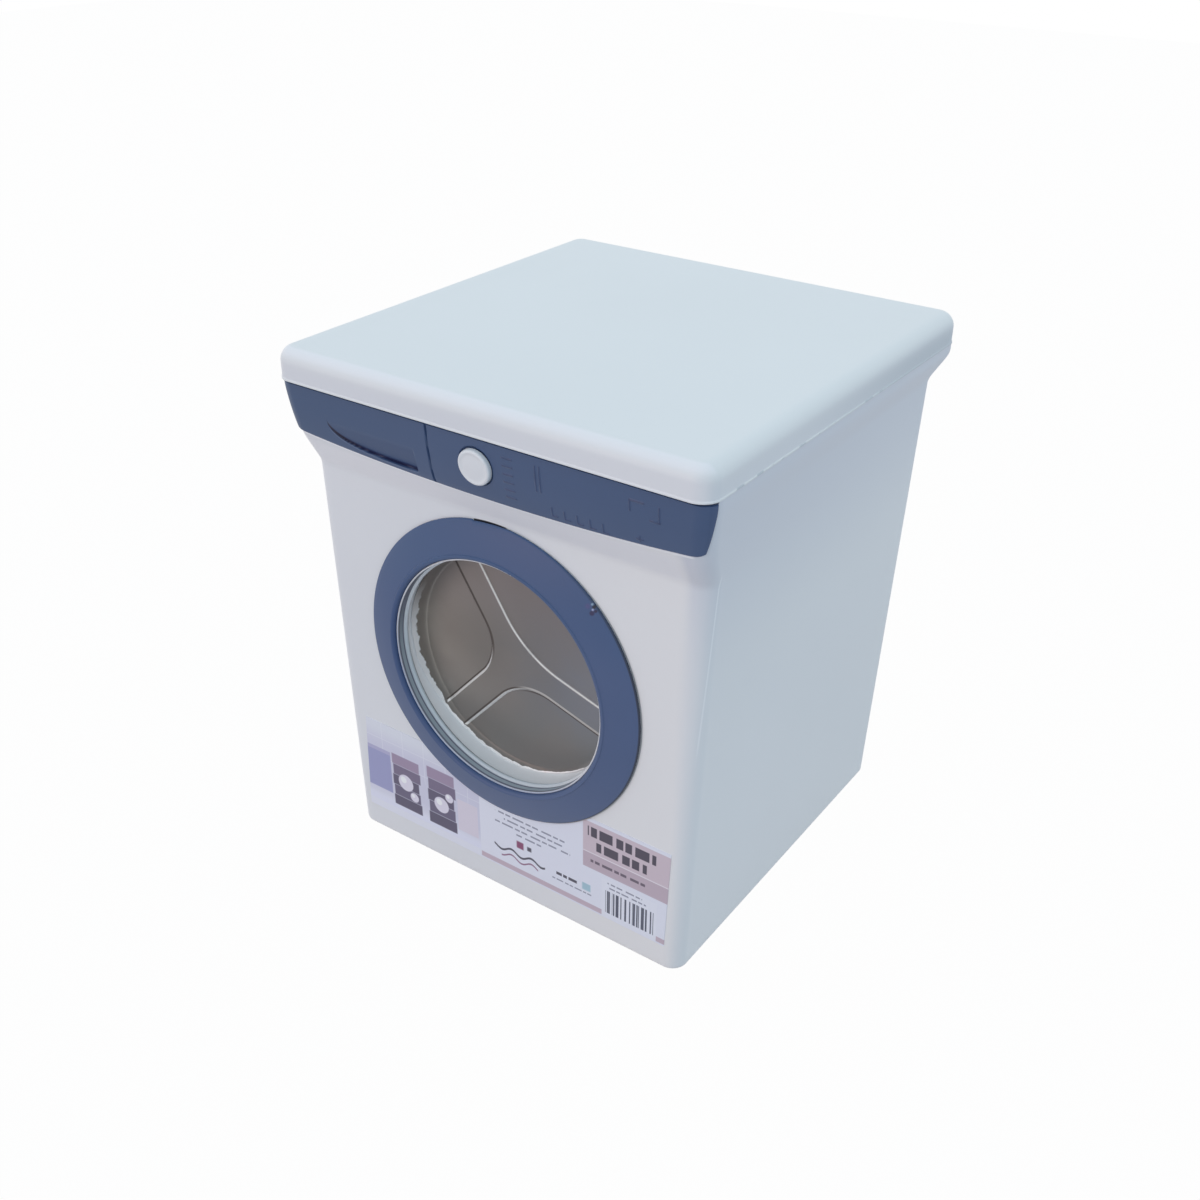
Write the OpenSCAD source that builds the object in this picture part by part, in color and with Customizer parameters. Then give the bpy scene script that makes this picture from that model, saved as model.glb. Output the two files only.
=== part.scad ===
// Detergent storage box in the form of a small front-loading washing machine.
// A drafted tub with a flared collar carries a lift-off lid, a control strip
// with a turning dial, and a round door frame over a well with a drum face.
// Front is -Y, up is +Z, and the origin is on the floor under the lid's centre.

/* [Lid] */
// Width of the lid, side to side
lid_w = 210; // [190:1:250]
// Depth of the lid, front to back
lid_d = 213.4; // [200:0.2:250]
// Height of the lid
lid_h = 14; // [11:0.5:24]
// Thickness of the lid's top and skirt
lid_t = 1.8; // [1.2:0.1:2.4]
// Radius of the lid's upright corners
lid_corner_r = 8.5; // [8.5:0.5:14]
// Radius along the lid's top edge
lid_edge_r = 7; // [3:0.2:8]
// Radius along the lid's lower edge
lid_lip_r = 0.6; // [0.2:0.1:0.8]
// Gap between the lid's skirt and the rim inside it
lid_fit = 0.6; // [0.3:0.1:1]
// How far the lid stands out past the control strip
lid_reveal = 1.6; // [1:0.1:2.2]
// How far the lid stands out past the collar at its sides and back
side_reveal = 0.4; // [0.2:0.1:1]
// Gap between the lid's lower edge and the collar that it rests on
lid_rest = 0.1; // [0.05:0.05:0.4]

/* [Tub] */
// Height of the tub up to the lid's lower edge
tub_h = 232; // [215:1:300]
// How far each side of the tub's base stands in from the lid
base_side_set = 12.2; // [8:0.2:18]
// How far the front and back of the tub's base stand in from the lid
base_front_set = 14.1; // [11:0.1:18]
// How far each side stands in at the shoulder, where the collar starts
shoulder_side_set = 5; // [3:0.2:8]
// How far the front and back stand in at the shoulder
shoulder_front_set = 13.3; // [10.5:0.1:16]
// Thickness of the tub's walls
wall = 2; // [1.4:0.1:2.6]
// Thickness of the tub's base
base_t = 2.4; // [1.6:0.1:4]
// Radius of the tub's upright corners
tub_corner_r = 7.5; // [5:0.5:12]
// Radius along the tub's bottom edge
foot_r = 1.5; // [0.6:0.1:2.4]

/* [Collar] */
// Height of the cove under the control strip
cove_h = 13.5; // [11:0.5:20]
// How far the cove brings the front outwards
cove_reach = 6.8; // [4:0.1:8]
// Height of the collar's bowed face, from the cove to the lid
face_h = 26; // [22:0.5:34]
// Height above the cove where the bowed face turns more upright
turn_h = 10; // [8:0.5:12]
// How far the face leans outwards below that turn
turn_reach = 2.5; // [1.5:0.1:3]
// Half length over which the face turns
turn_blend = 8; // [4:0.5:10]
// Height of the plain lip under the lid at the back
lip_h = 4.5; // [3:0.5:9]
// Height of the flare under that lip
flare_h = 9; // [7:0.5:14]
// Half length over which two slopes of the collar blend
blend = 2; // [1:0.5:3]

/* [Control strip] */
// Thickness of the control strip
strip_t = 2.6; // [2:0.1:3.2]
// How far the strip stands proud of the collar
strip_proud = 1; // [0.4:0.1:1.2]
// Rise of the strip's arched lower edge from its middle to its ends
strip_arch = 5; // [1:0.1:7]
// How far that edge dips below the collar's face in the middle
strip_dip = 2; // [0:0.1:4]
// Radius of the strip's lower corners
strip_corner_r = 7; // [2:0.5:9]
// How far each end wraps back round the collar's corner
strip_wrap = 4.2; // [3:0.2:10]
// Gap between the strip's top edge and the lid
strip_drop = 1.6; // [0.6:0.1:2]
// Clearance between the strip and its seat
seat_gap = 0.15; // [0.1:0.05:0.3]

/* [Detergent drawer marks on the strip] */
// Distance of the drawer's dividing groove left of the middle
drawer_x = 23.9; // [21:0.1:30]
// Width of that groove
drawer_groove_w = 0.9; // [0.5:0.1:1.5]
// Depth of that groove
drawer_groove_t = 0.7; // [0.3:0.1:1]
// Distance of the finger scoop's pointed tip left of the middle
scoop_tip_x = 78.5; // [70:0.5:88]
// Distance of the finger scoop's square end left of the middle
scoop_end_x = 31.8; // [29:0.2:45]
// Height of the scoop on the strip's face
scoop_h = 8.4; // [6:0.2:10]
// Depth of the scoop at its lower edge
scoop_t = 1.4; // [0.6:0.1:1.6]
// Height of the scoop's lower edge above the strip's lower edge
scoop_rise = 4.3; // [2:0.1:6]

/* [Dial knob] */
// Diameter of the knob
knob_d = 15.4; // [12:0.2:18]
// Height of the knob above the strip
knob_h = 2.7; // [2.2:0.1:5]
// Height of the knob's straight rim
knob_rim_h = 1; // [0.6:0.1:2]
// Distance of the knob left of the middle
knob_x = 0; // [-6:0.5:6]
// Height of the knob's centre above the cove
knob_rise = 13; // [10:0.2:14]
// Gap round the knob in its dish
knob_gap = 0.5; // [0.3:0.1:1]
// Depth of the dish that the knob sits in
knob_dish_t = 0.8; // [0.4:0.1:1.2]
// Diameter of the knob's stem
stem_d = 6; // [4:0.2:8]
// Radial running clearance of the stem in the strip
stem_fit = 0.08; // [0.05:0.01:0.1]
// Running gap under the knob
knob_lift = 0.3; // [0.2:0.05:0.4]

/* [Door ring] */
// Outer diameter of the door ring
ring_d = 142.8; // [120:0.2:150]
// Width of the door ring's band
ring_w = 16.4; // [12:0.2:22]
// Distance of the ring's top edge below the shoulder
ring_top_gap = 2.1; // [2:0.1:12]
// Height of the ring's outer edge
ring_edge_h = 1.5; // [1:0.1:3]
// Height of the ring's inner edge
ring_crown_h = 6.2; // [4:0.1:8]
// Thickness of the ring's moulded wall
ring_t = 2; // [1.4:0.1:2.6]
// Radius along the ring's inner edge
ring_inner_r = 1.6; // [0.6:0.1:2]
// Radius along the ring's outer edge
ring_outer_r = 0.7; // [0.3:0.1:0.9]
// Height that the opening's wall stays clear of the front
ring_lift = 2.2; // [1:0.1:3]
// Thickness of the locating rib behind the ring
rib_t = 1.6; // [1:0.1:2]
// Depth of that rib in the tub's front wall
rib_h = 1; // [0.6:0.1:1.2]
// Clearance of pieces that lie on the front
lay_gap = 0.05; // [0.02:0.01:0.1]

/* [Door well] */
// Gap between the ring's opening and the lip that stands in it
door_lip_gap = 0.15; // [0.1:0.05:0.4]
// Thickness of that lip
door_lip_t = 0.7; // [0.5:0.1:1.2]
// How far the lip stands out of the front
door_lip_h = 4.4; // [2.4:0.1:5]
// How far the well's wall stands out from the lip's inside
well_step = 0.2; // [0.1:0.1:1]
// How far the bead stands in from the lip's inside
bead_proud = 1; // [0.6:0.1:2]
// Depth of the well
well_h = 13.2; // [10:0.2:16]
// Depth of the bead's crest under the front
bead_z = 0.6; // [0.4:0.1:2]
// Width of the bead's crest
bead_crest = 1; // [0.6:0.1:1.8]
// Slope length under the bead
bead_back = 0.8; // [0.6:0.1:1.6]

/* [Drum face] */
// Thickness of the drum face's sheet
drum_t = 0.8; // [0.5:0.1:1.2]
// Height of the three arms above the sheet
arm_h = 1.2; // [0.6:0.1:2]
// Width of each arm
arm_w = 13.4; // [9:0.2:18]
// Radius of the inner corner of the lobe on the left
lobe_left_r = 22; // [6:0.5:30]
// Radius of the inner corner of the lobe at the bottom
lobe_low_r = 25; // [6:0.5:30]
// Radius of the inner corner of the lobe on the right
lobe_right_r = 50; // [6:0.5:56]
// Height of the sheet's turned-up edge
drum_rim_h = 5.6; // [3:0.1:7]
// Clearance round the drum face in its well
drum_gap = 0.3; // [0.2:0.1:0.6]

/* [Front label] */
// Distance of the label's ends from the tub's sides at the base
label_set = 7.8; // [7:0.1:20]
// Height of the label
label_h = 51.5; // [30:0.5:60]
// Height of the label's lower edge above the floor
label_z = 12.8; // [8:0.2:24]
// Thickness of the label
label_t = 0.2; // [0.1:0.05:0.3]
// Radius of the label's corners
label_r = 1.5; // [0.5:0.1:4]
// Gap between the label's arched cut and the door ring
label_gap = 0.6; // [0.3:0.1:2]

/* [Hidden] */

$fn = 96;
// Points on each rounded corner of a section, and on small edge radii
corner_steps = 10;
edge_steps = 6;
// How far cuts run past what they cut
overrun = 1;

// Directions of the three drum arms, anticlockwise from +X seen from the front,
// and the corner radius of the lobe after each
arm_angles = [122, 228, 343];
lobe_radii = [lobe_left_r, lobe_low_r, lobe_right_r];

// Sizes of the tub at its base and at its shoulder
base_w = lid_w - 2 * base_side_set;
base_d = lid_d - 2 * base_front_set;
shoulder_w = lid_w - 2 * shoulder_side_set;
shoulder_d = lid_d - 2 * shoulder_front_set;

// Heights of the collar's changes of slope
shoulder_z = tub_h - face_h - cove_h;
face_z = tub_h - face_h;
flare_z = tub_h - lip_h - flare_h;
lip_z = tub_h - lip_h;
rim_z = tub_h + lid_h - lid_edge_r;

// The door's centre, and the radii of its ring and well
ring_r = ring_d / 2;
hole_r = ring_r - ring_w;
lip_out_r = hole_r - door_lip_gap;
lip_in_r = lip_out_r - door_lip_t;
well_r = lip_in_r + well_step;
bead_r = lip_in_r - bead_proud;
door_z = shoulder_z - ring_top_gap - ring_r;

// Reach of the collar to its sides, back and front under the lid
collar_side = lid_w / 2 - side_reveal;
collar_back = lid_d / 2 - side_reveal;
collar_front = lid_d / 2 - lid_reveal - strip_proud;

// How far the rim inside the lid is set back from the collar
rim_set = lid_t + lid_fit - side_reveal;
turn_z = face_z + turn_h;
ledge_z = tub_h - lid_rest;

// Slopes of the walls, as outward travel over height
side_slope = (shoulder_w - base_w) / 2 / shoulder_z;
wall_slope = (shoulder_d - base_d) / 2 / shoulder_z;
cove_slope = cove_reach / cove_h;
low_slope = turn_reach / turn_h;
high_slope = (collar_front - shoulder_d / 2 - cove_reach - turn_reach) / (face_h - turn_h);
collar_side_slope = (collar_side - shoulder_w / 2) / (lip_z - shoulder_z);
flare_slope = (collar_back - base_d / 2 - wall_slope * flare_z) / flare_h;
rear_side_slope = (collar_side - base_w / 2 - side_slope * flare_z) / flare_h;

// Depth of the strip's seat in the collar, and how far the inside steps back for it
seat_t = strip_t - strip_proud + seat_gap;
cove_slope_inside = (cove_reach - seat_t) / cove_h;

// A ramp that is 0 below zero and t above it, rounded over a length s either side
function soft_ramp(t, s = blend) = t <= -s ? 0 : t >= s ? t : (t + s) * (t + s) / (4 * s);

// Inset of a rounded bottom or top edge at a height t above where it starts
function edge_inset(t, r) = t >= r ? 0 : r - sqrt(r * r - (r - t) * (r - t));

// Distance of the tub's side, front and back from the middle at height z;
// at the rear the side stays straight up to the flare
function side_at(z) = base_w / 2 + side_slope * z
    + (collar_side_slope - side_slope) * soft_ramp(z - shoulder_z)
    - collar_side_slope * soft_ramp(z - lip_z);
function front_at(z, cove = cove_slope) = base_d / 2 + wall_slope * z
    + (cove - wall_slope) * soft_ramp(z - shoulder_z)
    + (low_slope - cove) * soft_ramp(z - face_z)
    + (high_slope - low_slope) * soft_ramp(z - turn_z, turn_blend);
function rear_side_at(z) = base_w / 2 + side_slope * z
    + (rear_side_slope - side_slope) * soft_ramp(z - flare_z)
    - rear_side_slope * soft_ramp(z - lip_z);
function back_at(z) = base_d / 2 + wall_slope * z
    + (flare_slope - wall_slope) * soft_ramp(z - flare_z)
    - flare_slope * soft_ramp(z - lip_z);

// Ascending list with repeats left out
function ascending(v) = len(v) < 2 ? v
    : let(pivot = v[floor(len(v) / 2)])
      concat(ascending([for (x = v) if (x < pivot) x]), [pivot], ascending([for (x = v) if (x > pivot) x]));

// A quarter circle of points round a centre, and a rounded section made of four,
// which may be narrower at the rear
function quarter(x, y, r, start) = [for (i = [0:corner_steps])
    [x + r * cos(start + 90 * i / corner_steps), y + r * sin(start + 90 * i / corner_steps)]];
function section(side, front, back, r, rear_side) = concat(
    quarter(rear_side - r, back - r, r, 0), quarter(r - rear_side, back - r, r, 90),
    quarter(r - side, r - front, r, 180), quarter(side - r, r - front, r, 270));
function at_height(points, z) = [for (p = points) [p[0], p[1], z]];

// Profile points along a quarter round, from one angle to another
function round_off(x, y, r, from, to) = [for (i = [0:edge_steps])
    let(a = from + (to - from) * i / edge_steps) [x + r * cos(a), y + r * sin(a)]];

// Heights at which the tub's skin is sectioned
bend_shares = [-1, -0.4, 0.4, 1];
foot_shares = [0, 0.15, 0.4, 1];
bend_levels = concat([for (z = [shoulder_z, face_z, flare_z, lip_z]) for (s = bend_shares) z + s * blend],
    [for (s = bend_shares) turn_z + s * turn_blend]);
foot_levels = [for (s = foot_shares) s * foot_r];
skin_levels = ascending(concat(foot_levels, [for (z = bend_levels) if (z < ledge_z) z], [ledge_z]));
band_levels = concat([for (z = skin_levels) if (z > shoulder_z) z], [tub_h + overrun]);
cavity_levels = [for (z = skin_levels) if (z > base_t) z];

// A solid through sections of equal point count, lowest first
module loft(rings) {
    n = len(rings[0]);
    last = len(rings) - 1;
    sides = [for (j = [0:last - 1]) for (i = [0:n - 1])
        let(a = j * n + i, b = j * n + (i + 1) % n) each [[a, a + n, b + n], [a, b + n, b]]];
    caps = [[for (i = [0:n - 1]) i], [for (i = [n - 1:-1:0]) last * n + i]];
    polyhedron(points = [for (ring = rings) each ring], faces = concat(sides, caps));
}

// A section of the tub's skin at height z, grown sideways by g
function skin_ring(z, g) = section(side_at(z) + g, front_at(z) + g, back_at(z) + g,
    tub_corner_r + g, rear_side_at(z) + g);
function inside_ring(z, g) = section(side_at(z) - wall - g,
    front_at(z, cove_slope_inside) - wall, back_at(z) - wall - g, tub_corner_r - wall,
    rear_side_at(z) - wall - g);
function rim_ring(g) = section(collar_side - rim_set - g,
    collar_front - g, collar_back - rim_set - g, tub_corner_r - g, collar_side - rim_set - g);

// The tub's outer form: the skin up to the ledge under the lid, then the rim inside the lid
module tub_form() {
    loft(concat([for (z = skin_levels) at_height(skin_ring(z, -edge_inset(z, foot_r)), z)],
        [at_height(rim_ring(0), ledge_z), at_height(rim_ring(0), rim_z)]));
}

// The collar's form alone, grown sideways, for the strip and its seat
module collar_form(grow) {
    loft([for (z = band_levels) at_height(skin_ring(z, grow), z)]);
}

// The space inside the tub, set back behind the strip's seat
module tub_cavity() {
    loft(concat([at_height(inside_ring(base_t, 0), base_t)],
        [for (z = cavity_levels) at_height(inside_ring(z, z > lip_z ? rim_set : 0), z)],
        [at_height(inside_ring(ledge_z, rim_set), rim_z + overrun)]));
}

// Slope of the collar's face at the dial
knob_z = face_z + knob_rise;
knob_slope = low_slope + (high_slope - low_slope) * (knob_z - turn_z + turn_blend) / (2 * turn_blend);

// Local frames with Z pointing out of the front wall or out of the strip's face at the dial
module on_front(z) {
    translate([0, -front_at(z), z]) rotate([90 + atan(wall_slope), 0, 0]) children();
}
module on_strip(x, z) {
    translate([x, -front_at(z), z]) rotate([90 + atan(knob_slope), 0, 0]) children();
}

// The strip's front outline, run backwards to where its ends stop
strip_foot_z = face_z - strip_dip;
strip_half_w = collar_side + strip_proud;
corner_x = side_at(face_z + strip_arch) + strip_proud - strip_corner_r;
arch_r = (corner_x * corner_x + strip_arch * strip_arch) / (2 * strip_arch);
strip_top_z = tub_h - strip_drop;
strip_end_y = strip_wrap - collar_front;

module strip_outline(grow) {
    half = strip_half_w + overrun;
    corner_z = strip_foot_z + strip_arch + strip_corner_r;
    translate([0, strip_end_y + grow, 0]) rotate([90, 0, 0])
        linear_extrude(height = collar_front) difference() {
            translate([-half, strip_foot_z - grow])
                square([2 * half, strip_top_z + grow - strip_foot_z + grow]);
            difference() {
                translate([-half, strip_foot_z - grow - overrun])
                    square([2 * half, strip_arch + strip_corner_r + grow + overrun]);
                intersection() {
                    translate([0, strip_foot_z + arch_r]) circle(r = arch_r + grow, $fn = 720);
                    translate([-corner_x, strip_foot_z - grow - overrun])
                        square([2 * corner_x, strip_arch + strip_corner_r + grow + 2 * overrun]);
                }
                for (s = [-1, 1]) translate([s * corner_x, corner_z]) circle(r = strip_corner_r + grow);
            }
        }
}

// A band of the collar's surface between two depths, inside the strip's outline
module collar_band(out, depth, grow) {
    intersection() {
        difference() {
            collar_form(out);
            collar_form(-depth);
        }
        strip_outline(grow);
    }
}

// The well behind the door, as a turned profile with a bead under the lip round its mouth
boss_r = well_r + wall;
lip_top = door_lip_h + overrun;

module well_cut() {
    rotate_extrude() polygon([
        [0, lip_top], [lip_in_r, lip_top], [lip_in_r, 0], [bead_r, -bead_z],
        [bead_r, -bead_z - bead_crest], [well_r, -bead_z - bead_crest - bead_back],
        [well_r, -well_h], [0, -well_h]]);
}

// The annular groove that the door ring's rib sits in
rib_mid_r = (ring_r + hole_r) / 2 + rib_t;

module ring_band(r, t, low, high) {
    rotate_extrude() translate([r - t / 2, low]) square([t, high - low]);
}

module tub() {
    color("#e9edf2") difference() {
        union() {
            difference() {
                tub_form();
                tub_cavity();
            }
            on_front(door_z) translate([0, 0, -well_h - wall]) cylinder(r = boss_r, h = well_h + wall / 2);
            on_front(door_z) translate([0, 0, -wall]) cylinder(r = lip_out_r, h = wall + door_lip_h);
        }
        on_front(door_z) well_cut();
        on_front(door_z) ring_band(rib_mid_r, rib_t + 2 * seat_gap, -rib_h - seat_gap, overrun);
        collar_band(overrun, seat_t, seat_gap);
    }
}

// The lid's outer form and the space under it, with one wall thickness round its top edge
lid_inner_r = lid_edge_r - lid_t;
lid_shares = [0, 0.25, 0.6, 1];
lid_turns = [for (i = [0:edge_steps + 2]) 90 * i / (edge_steps + 2)];
lid_levels = concat([for (s = lid_shares) [s * lid_lip_r, edge_inset(s * lid_lip_r, lid_lip_r)]],
    [for (a = lid_turns) [lid_h - lid_edge_r + lid_edge_r * sin(a), lid_edge_r - lid_edge_r * cos(a)]]);
hollow_levels = concat([[-overrun, 0]],
    [for (a = lid_turns) [lid_h - lid_t - lid_inner_r + lid_inner_r * sin(a), lid_inner_r - lid_inner_r * cos(a)]]);

module lid_form(levels, inset) {
    translate([0, 0, tub_h]) loft([for (l = levels) let(g = inset + l[1])
        at_height(section(lid_w / 2 - g, lid_d / 2 - g, lid_d / 2 - g, lid_corner_r - g, lid_w / 2 - g), l[0])]);
}

module lid() {
    color("#eef2f6") difference() {
        lid_form(lid_levels, 0);
        lid_form(hollow_levels, lid_t);
    }
}

// The dial's radius
knob_r = knob_d / 2;

// The finger scoop: a crescent whose floor sinks towards its lower edge
scoop_low_z = strip_foot_z + scoop_rise;
scoop_w = scoop_tip_x - scoop_end_x;
scoop_curve_shares = [for (i = [0:edge_steps * 2]) i / (edge_steps * 2)];
scoop_outline = concat(
    [for (s = scoop_curve_shares) [scoop_w * s * s, -scoop_h * (1 - (1 - s) * (1 - s))]],
    [[scoop_w, 0]]);

module scoop_cut() {
    on_strip(-scoop_tip_x, scoop_low_z + scoop_h) translate([0, 0, strip_proud])
        rotate([atan(scoop_t / scoop_h), 0, 0]) linear_extrude(height = scoop_h) polygon(scoop_outline);
}

module control_strip() {
    color("#4d5b76") difference() {
        collar_band(strip_proud, strip_t - strip_proud, 0);
        on_strip(-knob_x, knob_z) translate([0, 0, strip_proud - knob_dish_t])
            cylinder(r = knob_r + knob_gap, h = knob_h);
        on_strip(-knob_x, knob_z) translate([0, 0, -strip_t])
            cylinder(r = stem_d / 2 + stem_fit, h = 2 * strip_t);
        on_strip(-drawer_x, face_z) translate([-drawer_groove_w / 2, -face_h, strip_proud - drawer_groove_t])
            cube([drawer_groove_w, 2 * face_h, drawer_groove_t + overrun]);
        scoop_cut();
    }
}

// The knob: a domed cap on a short stem, with its foot running over the dish
dome_h = knob_h - knob_rim_h;
dome_r = (knob_r * knob_r + dome_h * dome_h) / (2 * dome_h);
knob_foot = strip_proud - knob_dish_t + knob_lift;
knob_top = strip_proud + knob_h;
stem_foot = strip_proud - strip_t;

module dial_knob() {
    color("#e4e7ec") on_strip(-knob_x, knob_z) union() {
        intersection() {
            translate([0, 0, knob_foot]) cylinder(r = knob_r, h = knob_top - knob_foot);
            translate([0, 0, knob_top - dome_r]) sphere(r = dome_r);
        }
        translate([0, 0, stem_foot]) cylinder(r = stem_d / 2, h = knob_foot - stem_foot + knob_rim_h);
    }
}

// The door ring's section: a shell that rises from its outer edge to its opening
ring_rise = (ring_crown_h - ring_edge_h) / (ring_r - hole_r);
ring_tilt = atan(ring_rise);
ring_profile = concat(
    [[ring_r, lay_gap]],
    round_off(ring_r - ring_outer_r, ring_edge_h - ring_outer_r, ring_outer_r, 0, 90 - ring_tilt),
    round_off(hole_r + ring_inner_r, ring_crown_h - ring_inner_r, ring_inner_r, 90 - ring_tilt, 180),
    [[hole_r, ring_lift], [hole_r + ring_t, ring_lift],
     [hole_r + ring_t, ring_crown_h - ring_t - ring_rise * ring_t],
     [ring_r - ring_t, ring_edge_h - ring_t + ring_rise * ring_t + ring_t / 2], [ring_r - ring_t, lay_gap]]);

module door_ring() {
    color("#54617f") on_front(door_z) {
        rotate_extrude() polygon(ring_profile);
        ring_band(rib_mid_r, rib_t, -rib_h, ring_edge_h + ring_rise * (ring_r - rib_mid_r) - ring_t / 2);
    }
}

// One lobe of the drum face: the wedge between two arms, with a rounded inner corner
module lobe_outline(from, to, lobe_r, reach) {
    half = (to - from) / 2;
    mid = (to + from) / 2;
    corner = (arm_w / 2 + lobe_r) / sin(half);
    rotate([0, 0, mid]) intersection() {
        circle(r = reach);
        union() {
            translate([corner, 0]) circle(r = lobe_r);
            polygon([[corner - lobe_r * sin(half), -lobe_r * cos(half)],
                [corner + 2 * reach * cos(half), -lobe_r * cos(half) - 2 * reach * sin(half)],
                [2 * reach, 0],
                [corner + 2 * reach * cos(half), lobe_r * cos(half) + 2 * reach * sin(half)],
                [corner - lobe_r * sin(half), lobe_r * cos(half)]]);
        }
    }
}

// The drum face: a turned dish with three arms standing on its floor
module drum_plate() {
    drum_r = well_r - drum_gap;
    dish_r = drum_r - drum_t;
    color("#8a8683") on_front(door_z) translate([0, 0, -well_h + lay_gap]) {
        rotate_extrude() polygon([[0, 0], [drum_r, 0], [drum_r, drum_rim_h], [dish_r, drum_rim_h],
            [dish_r, drum_t], [0, drum_t]]);
        translate([0, 0, drum_t / 2]) linear_extrude(height = drum_t / 2 + arm_h) difference() {
            circle(r = drum_r - drum_t / 2);
            for (i = [0:2]) lobe_outline(arm_angles[i], i < 2 ? arm_angles[i + 1] : arm_angles[0] + 360,
                lobe_radii[i], drum_r);
        }
    }
}

// The label's rounded outline, cut to an arch round the door ring
label_mid_z = label_z + label_h / 2;
label_w = base_w - 2 * label_set;

module front_label() {
    half_w = label_w / 2 - label_r;
    color("#ccd0dc") on_front(label_mid_z) translate([0, 0, lay_gap]) linear_extrude(height = label_t)
        difference() {
            union() {
                for (sx = [-1, 1]) for (sy = [-1, 1])
                    translate([sx * half_w, sy * (label_h / 2 - label_r)]) circle(r = label_r);
                square([label_w, label_h - 2 * label_r], center = true);
                square([label_w - 2 * label_r, label_h], center = true);
            }
            translate([0, (door_z - label_mid_z) / cos(atan(wall_slope))]) circle(r = ring_r + label_gap);
        }
}

tub();
lid();
control_strip();
dial_knob();
door_ring();
drum_plate();
front_label();
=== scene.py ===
import bmesh
import bpy
import numpy as np
from mathutils import Matrix


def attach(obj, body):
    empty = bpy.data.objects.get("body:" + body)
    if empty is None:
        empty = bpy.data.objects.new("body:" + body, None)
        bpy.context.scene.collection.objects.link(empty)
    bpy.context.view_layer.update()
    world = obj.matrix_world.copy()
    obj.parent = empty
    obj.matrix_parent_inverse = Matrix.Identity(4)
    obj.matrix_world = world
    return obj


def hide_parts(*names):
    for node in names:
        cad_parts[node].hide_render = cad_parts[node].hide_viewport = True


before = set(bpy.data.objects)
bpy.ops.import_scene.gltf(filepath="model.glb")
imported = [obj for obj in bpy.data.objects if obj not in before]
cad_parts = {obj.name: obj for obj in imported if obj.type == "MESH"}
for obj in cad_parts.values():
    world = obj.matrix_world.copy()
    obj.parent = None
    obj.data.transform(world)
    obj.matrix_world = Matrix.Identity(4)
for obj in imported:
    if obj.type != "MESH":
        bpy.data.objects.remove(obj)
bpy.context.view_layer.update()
MM = 0.001

# Sizes of the box in millimetres, as in the CAD model
LID_W, LID_D, LID_H, LID_T = 210.0, 213.4, 14.0, 1.8
LID_CORNER, LID_EDGE = 8.5, 7.0
TUB_H, LEDGE, RIM = 232.0, 231.9, 239.0
BASE_W, BASE_D, SHOULDER_W, SHOULDER_D = 92.8, 92.6, 100.0, 93.4
WALL, BASE_T, CORNER, FOOT = 2.0, 2.4, 7.5, 1.5
SHOULDER, FACE, TURN, FLARE, LIP = 192.5, 206.0, 216.0, 218.5, 227.5
BLEND, TURN_BLEND = 2.0, 8.0
COLLAR_SIDE, COLLAR_BACK, COLLAR_FRONT, RIM_SET = 104.6, 106.3, 104.1, 2.0
SIDE_SLOPE = (SHOULDER_W - BASE_W) / SHOULDER
WALL_SLOPE = (SHOULDER_D - BASE_D) / SHOULDER
COVE_SLOPE, COVE_INSIDE = 6.8 / 13.5, (6.8 - 1.75) / 13.5
LOW_SLOPE, HIGH_SLOPE = 0.25, 0.0875
COLLAR_SLOPE = (COLLAR_SIDE - SHOULDER_W) / (LIP - SHOULDER)
FLARE_SLOPE = (COLLAR_BACK - BASE_D - WALL_SLOPE * FLARE) / (LIP - FLARE)
REAR_SLOPE = (COLLAR_SIDE - BASE_W - SIDE_SLOPE * FLARE) / (LIP - FLARE)
DOOR_Z, RING_R, HOLE_R, WELL_H = 119.0, 71.4, 55.0, 13.2
LIP_OUT_R, LIP_IN_R, BEAD_R, WELL_R, BOSS_R = 54.85, 54.15, 53.15, 54.35, 56.35
STRIP_FOOT, STRIP_TOP, STRIP_END, STRIP_PROUD = 204.0, 231.1, -99.9, 1.0
STRIP_CORNER, CORNER_X, STRIP_ARCH = 7.0, 96.43, 5.0
ARCH_R = (CORNER_X**2 + STRIP_ARCH**2) / (2 * STRIP_ARCH)
KNOB_Z, KNOB_R, KNOB_SLOPE = 219.0, 7.7, 0.13828


def soft_ramp(t, s=BLEND):
    """0 below zero and t above it, rounded by a parabola over s either side."""
    return np.where(t <= -s, 0.0, np.where(t >= s, t, (t + s) ** 2 / (4 * s)))


def smooth(x, a, b):
    """0 at a, 1 at b, with a smooth step between."""
    t = np.clip((x - a) / (b - a), 0, 1)
    return t * t * (3 - 2 * t)


def side_at(z, rear=0.0):
    """Half width of the tub at height z: a drafted wall, a flare, then an upright lip.
    The flare is gentle at the front; at the rear, where rear is 1, it is as short as the back's."""
    gentle = (COLLAR_SLOPE - SIDE_SLOPE) * soft_ramp(z - SHOULDER) - COLLAR_SLOPE * soft_ramp(z - LIP)
    short = (REAR_SLOPE - SIDE_SLOPE) * soft_ramp(z - FLARE) - REAR_SLOPE * soft_ramp(z - LIP)
    return BASE_W + SIDE_SLOPE * z + gentle + (short - gentle) * rear


def front_at(z, cove=COVE_SLOPE):
    """Distance of the front from the middle: a drafted wall, the cove, then the bowed strip face."""
    return (
        BASE_D
        + WALL_SLOPE * z
        + (cove - WALL_SLOPE) * soft_ramp(z - SHOULDER)
        + (LOW_SLOPE - cove) * soft_ramp(z - FACE)
        + (HIGH_SLOPE - LOW_SLOPE) * soft_ramp(z - TURN, TURN_BLEND)
    )


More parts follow.
